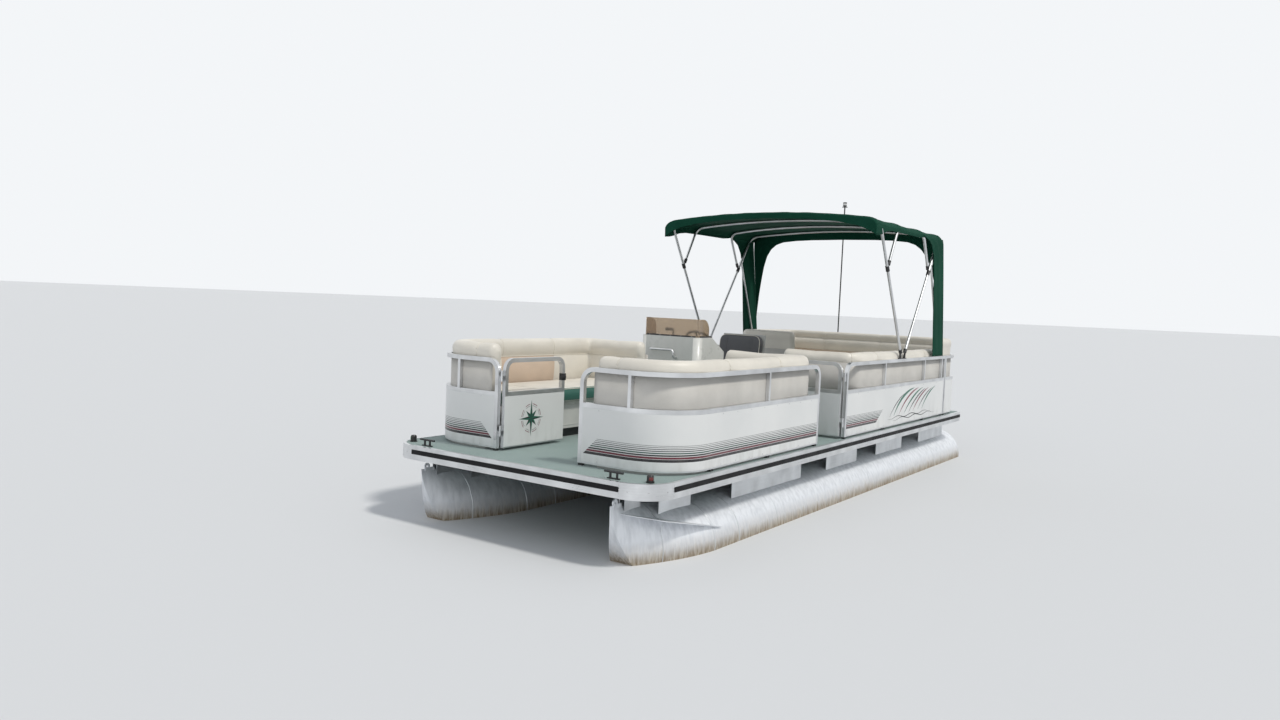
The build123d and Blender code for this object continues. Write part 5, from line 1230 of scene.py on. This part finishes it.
def stroke(points, width, steps=26):
    """A leaf-shaped stroke along a curve through its control points."""
    spine = []
    for k in range(steps + 1):
        level = [Vector(p) for p in points]
        while len(level) > 1:
            level = [a.lerp(b, k / steps) for a, b in zip(level, level[1:])]
        spine.append(level[0])
    left, right = [], []
    for k, spot in enumerate(spine):
        along = (spine[min(k + 1, steps)] - spine[max(k - 1, 0)]).normalized()
        across = Vector((-along.y, along.x))
        half = width * 0.02 if k in (0, steps) else width / 2 * math.sin(math.pi * k / steps) ** 0.8
        left.append(tuple(spot + across * half))
        right.append(tuple(spot - across * half))
    return left + right[::-1]


gate_face_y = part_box("gate_bow_panel")[1].y
star_station, star_height = 0.640, 0.225


def on_star(reach, angle):
    """A point of the compass star, from its reach and its angle off upright."""
    return star_station + reach * math.sin(angle), star_height + reach * math.cos(angle)


dark_halves, green_halves = [], []
for k in range(8):
    angle = math.pi * k / 4
    tip = on_star(0.084 if k % 2 else 0.140, angle)
    for way, halves in ((1, dark_halves), (-1, green_halves)):
        halves.append([(star_station, star_height), tip, on_star(0.034, angle + way * math.pi / 8)])
film("gate_star_dark", dark_halves, gate_face_y, "ink_black", "bow_gate")
film("gate_star_green", green_halves, gate_face_y, "ink_green", "bow_gate")
for number, inner, outer, ink in ((1, 0.107, 0.1115, "ink_maroon"), (2, 0.094, 0.0965, "ink_black")):
    arcs = []
    for k in range(8):
        first, last = math.pi * k / 4 + 0.14, math.pi * (k + 1) / 4 - 0.14
        angles = [first + (last - first) * j / 6 for j in range(7)]
        arcs.append([on_star(outer, a) for a in angles] + [on_star(inner, a) for a in reversed(angles)])
    film(f"gate_star_ring_{number}", arcs, gate_face_y, ink, "bow_gate")

fence_art = {
    # width and three control points of each stroke
    "green": (
        (0.030, (4.42, 0.115), (4.62, 0.34), (5.02, 0.375)),
        (0.022, (4.72, 0.115), (4.98, 0.315), (5.30, 0.365)),
        (0.020, (5.30, 0.135), (5.46, 0.30), (5.74, 0.362)),
    ),
    "maroon": (
        (0.021, (4.57, 0.115), (4.80, 0.325), (5.16, 0.370)),
        (0.019, (5.00, 0.125), (5.20, 0.300), (5.50, 0.355)),
    ),
    "black": (
        (0.016, (4.86, 0.118), (5.10, 0.300), (5.40, 0.352)),
        (0.014, (5.16, 0.130), (5.34, 0.290), (5.62, 0.345)),
        (0.012, (4.30, 0.112), (4.48, 0.270), (4.72, 0.330)),
    ),
}
for ink, strokes in fence_art.items():
    outlines = [stroke(points, width) for width, *points in strokes]
    film(f"fence_art_{ink}", outlines, fence_side, f"ink_{ink}")
waves = []
for low_line, start, end in ((0.098, 4.25, 5.60), (0.078, 4.40, 5.74)):
    upper, lower = [], []
    for k in range(61):
        station = start + (end - start) * k / 60
        height = low_line + 0.011 * math.sin(15 * station + low_line * 90)
        half = 0.0036 * math.sin(math.pi * k / 60) + 0.0004
        upper.append((station, height + half))
        lower.append((station, height - half))
    waves.append(upper + lower[::-1])
film("fence_art_waves", waves, fence_side, "ink_black")


# Gate latches: a black box and its lever on the free leg, and a strike on the far post
def latch(name, body, x, y, along_y):
    """A gate's latch at its frame's free corner: box, lever and pivot."""
    def spot(along, out, height):
        dx, dy = (out, along) if along_y else (along, out)
        return x + dx, y + dy, deck_z + height

    parts = Shapes()
    parts.box(spot(-0.004, -0.030, 0.500), spot(0.036, 0.010, 0.556), 0.004)
    parts.box(spot(0.008, 0.008, 0.520), spot(0.060, 0.017, 0.537), 0.003)
    parts.rod(spot(0.016, 0.006, 0.528), spot(0.016, 0.020, 0.528), 0.009)
    parts.done(name, "black", body)


bow_low, bow_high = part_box("gate_bow_frame")
latch("gate_latch_bow", "bow_gate", bow_low.x, bow_high.y, False)
port_low, port_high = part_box("gate_port_frame")
latch("gate_latch_port", "port_gate", port_high.x, port_low.y, True)
strikes = Shapes()
strike_low, strike_high = deck_z + 0.505, deck_z + 0.552
post_x, post_y = bow_x - fence_front - 0.016, 0.385
strikes.box(
    (post_x - 0.020, post_y - 0.003, strike_low), (post_x + 0.010, post_y + 0.001, strike_high), 0.001,
)
for height in (0.515, 0.542):
    strikes.head((post_x - 0.006, post_y - 0.003, deck_z + height), (0, -1, 0), 0.004, 0.002)
side_post_x = bow_x - 2.560
strikes.box(
    (side_post_x - 0.001, fence_side - 0.026, strike_low),
    (side_post_x + 0.0006, fence_side - 0.006, strike_high), 0.0005,
)
strikes.done("gate_strikes", "steel")


# Rivets, screws and bolts: low heads on what they hold
def fence_line(side, start, end, step, fence="bow"):
    """Points and outward normals along a fence's outer face, at even steps of station."""
    spots = []
    if fence == "bow":
        path, length = rounded_path([
            (bow_x - fence_front, start, 0), (bow_x - fence_front, fence_side, 0.42),
            (bow_x - end, fence_side, 0),
        ], step)
        for a, b in zip(path, path[1:]):
            along = (b - a).normalized()
            spots.append(((a + b) / 2, Vector((along.y, along.x))))
    else:
        count = max(1, round((end - start) / step))
        for k in range(count + 1):
            spots.append((Vector((bow_x - start - (end - start) * k / count, fence_side)), Vector((0, 1))))
    return [(Vector((p.x, side * p.y)), Vector((abs(n.x), side * abs(n.y)))) for p, n in spots]


rivets = Shapes()
rivet = (0.0052, 0.0018, 8)
rivet_rows = (deck_z + 0.042, deck_z + 0.397)
for side, start in ((1, 3.20), (-1, 2.63)):
    spots = fence_line(side, 0.45, 2.50, 0.21) + fence_line(side, start, 6.02, 0.235, "aft")
    for (spot, normal), z in product(spots, rivet_rows):
        rivets.head((spot.x, spot.y, z), (normal.x, normal.y, 0), *rivet)
stern_face = bow_x - 6.65
for k, z in product(range(9), rivet_rows):
    rivets.head((stern_face, -0.80 + 0.2 * k, z), (-1, 0, 0), *rivet)
rivets.done("fence_rivets", "steel")

# Bolt heads with their washers and studs, as (radius, height) points
foot_bolt = ((0.0105, 0.0), (0.0105, 0.0018), (0.0074, 0.0022), (0.0070, 0.0062), (0.0050, 0.0072))
frame_bolt = ((0.0130, 0.0), (0.0130, 0.0018), (0.0092, 0.0022), (0.0088, 0.0072), (0.0062, 0.0085))
transom_bolt = ((0.0130, 0.0), (0.0130, 0.0020), (0.0090, 0.0024), (0.0086, 0.0080), (0.0060, 0.0092))
bolts = Shapes()
foot_stations = (0.80, 1.66, 2.53, 4.16, 5.37, 6.03, 6.13)
foot_top = 0.0502
for side, gate_station in ((1, 3.175), (-1, 2.602)):
    for station in (*foot_stations, gate_station):
        bolts.turned(at(station, side * (fence_side - 0.018), foot_top), upwards, foot_bolt, 6)
    bolts.turned(at(fence_front + 0.018, side * 0.408, foot_top), upwards, foot_bolt, 6)
member_stations = [0.322 + 0.41 * k for k in range(16)]
riser_spans = (
    # first and last station, half width
    (0.45, 0.86, 0.100), (1.37, 2.59, 0.150), (3.13, 3.86, 0.150), (4.38, 5.15, 0.150), (5.72, 6.60, 0.150),
)
for first, last, half in riser_spans:
    within = [station for station in member_stations if first + 0.03 < station < last - 0.03]
    for station, side, face, height in product(within, (1, -1), (1, -1), (-0.118, -0.150)):
        bolts.turned(at(station, side * tube_y + face * half, height), (0, face, 0), frame_bolt, 6)
bolts.done("frame_bolts", "steel")

screws = Shapes()
screw = (0.0048, 0.0016, 8)
for side, k in product((1, -1), range(14)):
    screws.head(at(0.46 + 0.46 * k, side * 1.208, 0.003), upwards, *screw)
for k in range(9):
    screws.head(at(0.012, -0.92 + 0.23 * k, 0.003), upwards, *screw)
    screws.head(at(6.688, -1.04 + 0.26 * k, 0.003), upwards, *screw)
cap_round, deck_half, cap_reach = 0.26, 1.22, 0.2575
for side, angle in product((1, -1), (14, 45, 76)):
    sine, cosine = math.sin(math.radians(angle)), math.cos(math.radians(angle))
    spot = at(cap_round - cap_reach * sine, side * (deck_half - cap_round + cap_reach * cosine), -0.0525)
    screws.head(spot, (sine, side * cosine, 0), 0.0075, 0.0022, 10)
screws.done("deck_screws", "steel")

# Weld beads on the tubes, found on the tubes' own skin

for side, hand in hands:
    skin = skin_of(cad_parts[f"pontoon_{hand}"].data)
    for number, station in enumerate((0.395, 0.905, 1.26)):
        centre = Vector((bow_x - station, side * tube_y, 0.304))
        ring = []
        for k in range(40):
            angle = math.radians(-62 + 304 * k / 39)
            way = Vector((0, math.cos(angle), math.sin(angle)))
            hit = skin.ray_cast(centre + way * 0.34, -way)
            if hit[0]:
                ring.append(hit[0] + way * 0.0008)
        tube(f"weld_{hand}_{number + 1}", ring, 0.0034, "riser", sides=6)

# Nav lights: coloured lenses let into the fore and outer faces of the two domes
light_low, light_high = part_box("nav_lights")
light_x = (light_low.x + light_high.x) / 2
light_side = light_high.y - 0.028
lens_rings = ((0.0232, 0.016), (0.0242, 0.018), (0.0244, 0.032), (0.0236, 0.037), (0.0226, 0.038))
for (side, hand), look in zip(hands, ("red_lens", "green_lens")):
    vertices = []
    for (radius, height), k in product(lens_rings, range(17)):
        angle = math.radians(12 + 76 * k / 16) * side
        x, y = light_x + radius * math.cos(angle), side * light_side + radius * math.sin(angle)
        vertices.append((x, y, deck_z + height))
    thicken(make(f"nav_lens_{hand}", vertices, quads(len(lens_rings), 17, around=False), look), 0.0012, -1)

# Stern light: a clear lens under its cap
stern_low, stern_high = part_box("stern_light")
pole_x, pole_y = (stern_low.x + stern_high.x) / 2, (stern_low.y + stern_high.y) / 2
Shapes().turned((pole_x, pole_y, stern_high.z - 0.040), upwards, [
    (0.0243, 0.0), (0.0256, 0.002), (0.0256, 0.022), (0.0243, 0.025),
], 24).done("stern_lens", "clear_lens")

# Helm: dials, switches, key, throttle and the screen's foot strip
console_front = bow_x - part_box("console_body")[1].x
dash_run, dash_drop = 0.25, 0.142
dash_slope = math.atan2(dash_drop, dash_run)
dash_normal = Vector((-math.sin(dash_slope), 0, math.cos(dash_slope)))
dash_up = Vector((math.cos(dash_slope), 0, math.sin(dash_slope)))
to_port = Vector((0, 1, 0))


def on_dash(share, y, lift=0.0):
    """A point of the sloped dash: 0 at its upper edge, 1 at its lower one."""
    return at(console_front + 0.25 + dash_run * share, y, 0.832 - dash_drop * share) + dash_normal * lift


def on_dial(degrees):
    """Direction of a dial's mark or needle."""
    angle = math.radians(degrees)
    return dash_up * math.cos(angle) + to_port * math.sin(angle)


dash_turn = Matrix.Rotation(-dash_slope, 4, "Y")
bezels, faces_of_dials, marks = Shapes(), Shapes(), Shapes()
# Each dial's y, radius and number of ticks
for y, radius, ticks in ((-0.355, 0.030, 3), (-0.450, 0.042, 9), (-0.560, 0.042, 9), (-0.670, 0.042, 9)):
    foot = on_dash(0.26, y)
    bezels.turned(foot, dash_normal, [
        (radius + 0.005, 0.0), (radius + 0.005, 0.005), (radius + 0.001, 0.0085), (radius - 0.002, 0.0070),
    ], 32)
    plate = [(radius - 0.002, 0.0), (radius - 0.0025, 0.0006)]
    faces_of_dials.turned(foot + dash_normal * 0.0072, dash_normal, plate, 28)
    for k in range(ticks):
        way = on_dial(-120 + 240 * k / (ticks - 1))
        a = foot + dash_normal * 0.0082 + way * radius * 0.70
        marks.rod(a, a + way * radius * 0.14, 0.0008, sides=5)
    pivot = foot + dash_normal * 0.0086
    marks.rod(pivot, pivot + on_dial(-60) * radius * 0.62, 0.0012, 0.0004, 6)
    marks.head(foot + dash_normal * 0.0078, dash_normal, 0.004, 0.002)
bezels.done("dial_bezels", "chrome")
faces_of_dials.done("dial_faces", "black")
marks.done("dial_marks", "white_mark")

switches = Shapes()
panel_middle = on_dash(0.26, -0.785)
corners = around(panel_middle, (-0.034, -0.052, -0.0016), (0.034, 0.052, 0.0024))
switches.box(*corners, 0.0012, dash_turn)
for k, row in product(range(5), (-1, 1)):
    spot = on_dash(0.26 + row * 0.062, -0.785 - 0.038 + 0.019 * k, 0.004)
    switches.box(*around(spot, (-0.009, -0.0058, -0.003), (0.009, 0.0058, 0.003)), 0.0016, dash_turn)
switches.head(on_dash(0.62, -0.335), dash_normal, 0.014, 0.006, 16)
switches.done("dash_switches", "black")
key = Shapes()
key.rod(on_dash(0.62, -0.335, 0.004), on_dash(0.62, -0.335, 0.016), 0.0075, sides=16)
key.box(*around(on_dash(0.62, -0.335, 0.024), (-0.010, -0.0014, -0.009), (0.010, 0.0014, 0.009)), 0.001)
key.done("ignition_key", "chrome")

throttle = Shapes()
base = on_dash(0.60, -0.865)
throttle.box(*around(base, (-0.070, -0.040, -0.010), (0.070, 0.040, 0.030)), 0.010, dash_turn)
throttle.rod(*around(base, (0, -0.052, 0.022), (0, 0.052, 0.022)), 0.024, sides=24)
throttle.box(*around(base, (-0.010, 0.040, 0.020), (0.010, 0.052, 0.140)), 0.004)
throttle.rod(*around(base, (0, 0.040, 0.142), (0, -0.045, 0.142)), 0.013, 0.016, 20)
throttle.done("throttle", "black")

screen_low, screen_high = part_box("windscreen")
foot_z, strip_top = screen_low.z, screen_low.z + 0.014
strip = Shapes()
strip.box(
    (screen_high.x - 0.010, screen_low.y + 0.030, foot_z),
    (screen_high.x + 0.006, screen_high.y - 0.030, strip_top), 0.003,
)
for y, inner in ((screen_low.y, 1), (screen_high.y, -1)):
    y0, y1 = sorted((y - inner * 0.005, y + inner * 0.010))
    strip.box((screen_low.x + 0.004, y0, foot_z), (screen_high.x - 0.040, y1, strip_top), 0.003)
strip.done("screen_strip", "black")
screen_screws = Shapes()
for k in range(5):
    y = screen_low.y + 0.07 + (screen_high.y - screen_low.y - 0.14) * k / 4
    screen_screws.head((screen_high.x + 0.0058, y, foot_z + 0.007), (1, 0, 0), 0.0038, 0.0018)
screen_screws.done("screen_screws", "steel")

# Wheel: a grip sleeve with finger ridges and a cap on its hub
tilt = math.pi / 4
hub = at(2.95 + 0.455 + 0.1 * math.sin(tilt), -0.56, 0.69 + 0.1 * math.cos(tilt))
wheel_normal = Vector((-math.sin(tilt), 0, math.cos(tilt)))
wheel_up = wheel_normal.cross(to_port)
Shapes().turned(hub, wheel_normal, [
    (0.030, -0.002), (0.030, 0.003), (0.026, 0.008), (0.012, 0.010), (0.004, 0.0102),
], 28).done("wheel_cap", "chrome", "wheel")
grips = Shapes()
for k in range(48):
    angle = 2 * math.pi * k / 48
    way = to_port * math.cos(angle) + wheel_up * math.sin(angle)
    along = (wheel_up * math.cos(angle) - to_port * math.sin(angle)) * 0.0052
    spot = hub + way * 0.165
    grips.rod(spot - along, spot + along, 0.01245, sides=12)
grips.done("wheel_grip", "black", "wheel")

# Outboard: accents along the cowl's sides and vents across its rear
cowl_low, cowl_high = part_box("outboard_cowl")
accents = Shapes()
for side, (z0, z1) in product((1, -1), ((0.265, 0.272), (0.282, 0.302))):
    y = side * 0.165
    accents.box(
        (cowl_low.x + 0.085, y - 0.0008, deck_z + z0), (cowl_high.x - 0.19, y + 0.0008, deck_z + z1), 0.0004,
    )
accents.done("cowl_accents", "steel", "motor")
vents = Shapes()
for k in range(6):
    z = deck_z + 0.335 - 0.016 * k
    vents.box((cowl_low.x - 0.0008, -0.082, z - 0.0032), (cowl_low.x + 0.004, 0.082, z + 0.0032), 0.001)
vents.box((cowl_low.x - 0.0010, -0.045, deck_z + 0.186), (cowl_low.x + 0.006, 0.045, deck_z + 0.214), 0.0008)
vents.done("cowl_vents", "black", "motor")


# Canopy seams: stitch ridges over the cloth, beside each bow and along the two panel joins
def seam(name, spots, radius):
    tube(name, [(x, y, z + 0.0018) for x, y, z in spots], radius, "thread", sides=5)


for number, bow_top in enumerate(bow_tops):
    for end, off in (("aft", -0.030), ("fore", 0.030)):
        ridge = [canopy_point(bow_top + off, share) for share in shares[3:-3:2]]
        seam(f"canopy_seam_{number + 1}_{end}", ridge, 0.0013)
for number, share in enumerate((-0.34, 0.34)):
    seam(f"canopy_panel_seam_{number + 1}", [canopy_point(x, share) for x in lines[1:-1]], 0.0016)

# Seat bases: a dark toe kick, and a moulded frame round each door
kicks, frames = Shapes(), Shapes()
base_y = 0.4846
for first, last, side in ((1.06, 2.28, 1), (1.06, 2.10, -1), (3.62, 5.02, 1)):
    y = side * (base_y + 0.0452)
    kicks.box(at(last, y - 0.002, 0.004), at(first, y + 0.002, 0.074), 0.001)
    door = (last - first) / 2
    y = side * base_y
    for n in range(2):
        a, b = first + door * n + 0.05, first + door * (n + 1) - 0.05
        bars = (
            (a, b, 0.105, 0.113), (a, b, 0.272, 0.280),
            (a, a + 0.008, 0.105, 0.280), (b - 0.008, b, 0.105, 0.280),
        )
        for s0, s1, z0, z1 in bars:
            frames.box(at(s1, y - 0.0022, z0), at(s0, y + 0.0022, z1), 0.0012)
frames.done("base_frames", "base")
kicks.done("base_kicks", "black")

# Gate hinges: leaf plates and screws beside the pins
plates = Shapes()
plate_front, plate_y = fence_front - 0.0016, -0.401
for height in (0.110, 0.520):
    low = at(fence_front + 0.002, plate_y - 0.012, height - 0.028)
    plates.box(low, at(plate_front, plate_y + 0.012, height + 0.028), 0.0012)
    for dz in (-0.018, 0.018):
        plates.head(at(plate_front, plate_y, height + dz), (1, 0, 0), 0.0034, 0.0014)
plates.done("gate_hinge_plates", "steel")

# Bolt heads of the motor's bracket on the transom's fore face
transom_bolts = Shapes()
transom_x = bow_x - 7.03
for y, height in product((-0.085, 0.085), (-0.06, -0.13)):
    transom_bolts.turned((transom_x + 0.0445, y, deck_z + height), (1, 0, 0), transom_bolt, 6)
transom_bolts.done("transom_bolts", "steel")

# Console: moulded corner skins over its two rounded front corners
console_round = 0.060
arc_steps = 20
ring = arc_steps + 1
for hand, y, start_angle in (("port", -0.27 - console_round, 0), ("starboard", -0.95 + console_round, -90)):
    centre = at(console_front + console_round, y, 0)
    vertices, faces = [], []
    for radius, height in product((console_round + 0.0002, console_round + 0.0012), (0.003, 0.827)):
        for k in range(ring):
            angle = math.radians(start_angle - 6 + 102 * k / arc_steps)
            way = Vector((math.cos(angle), math.sin(angle), 0))
            vertices.append(centre + way * radius + Vector((0, 0, height)))
    for k in range(arc_steps):
        low_in, high_in, low_out, high_out = k, k + ring, k + 2 * ring, k + 3 * ring
        faces += [
            (low_out, low_out + 1, high_out + 1, high_out), (high_in, high_in + 1, low_in + 1, low_in),
            (high_out, high_out + 1, high_in + 1, high_in), (low_in, low_in + 1, low_out + 1, low_out),
        ]
    for k in (0, arc_steps):
        faces.append((k, k + ring, k + 3 * ring, k + 2 * ring))
    outward(make(f"console_corner_skin_{hand}", vertices, faces, "console"))
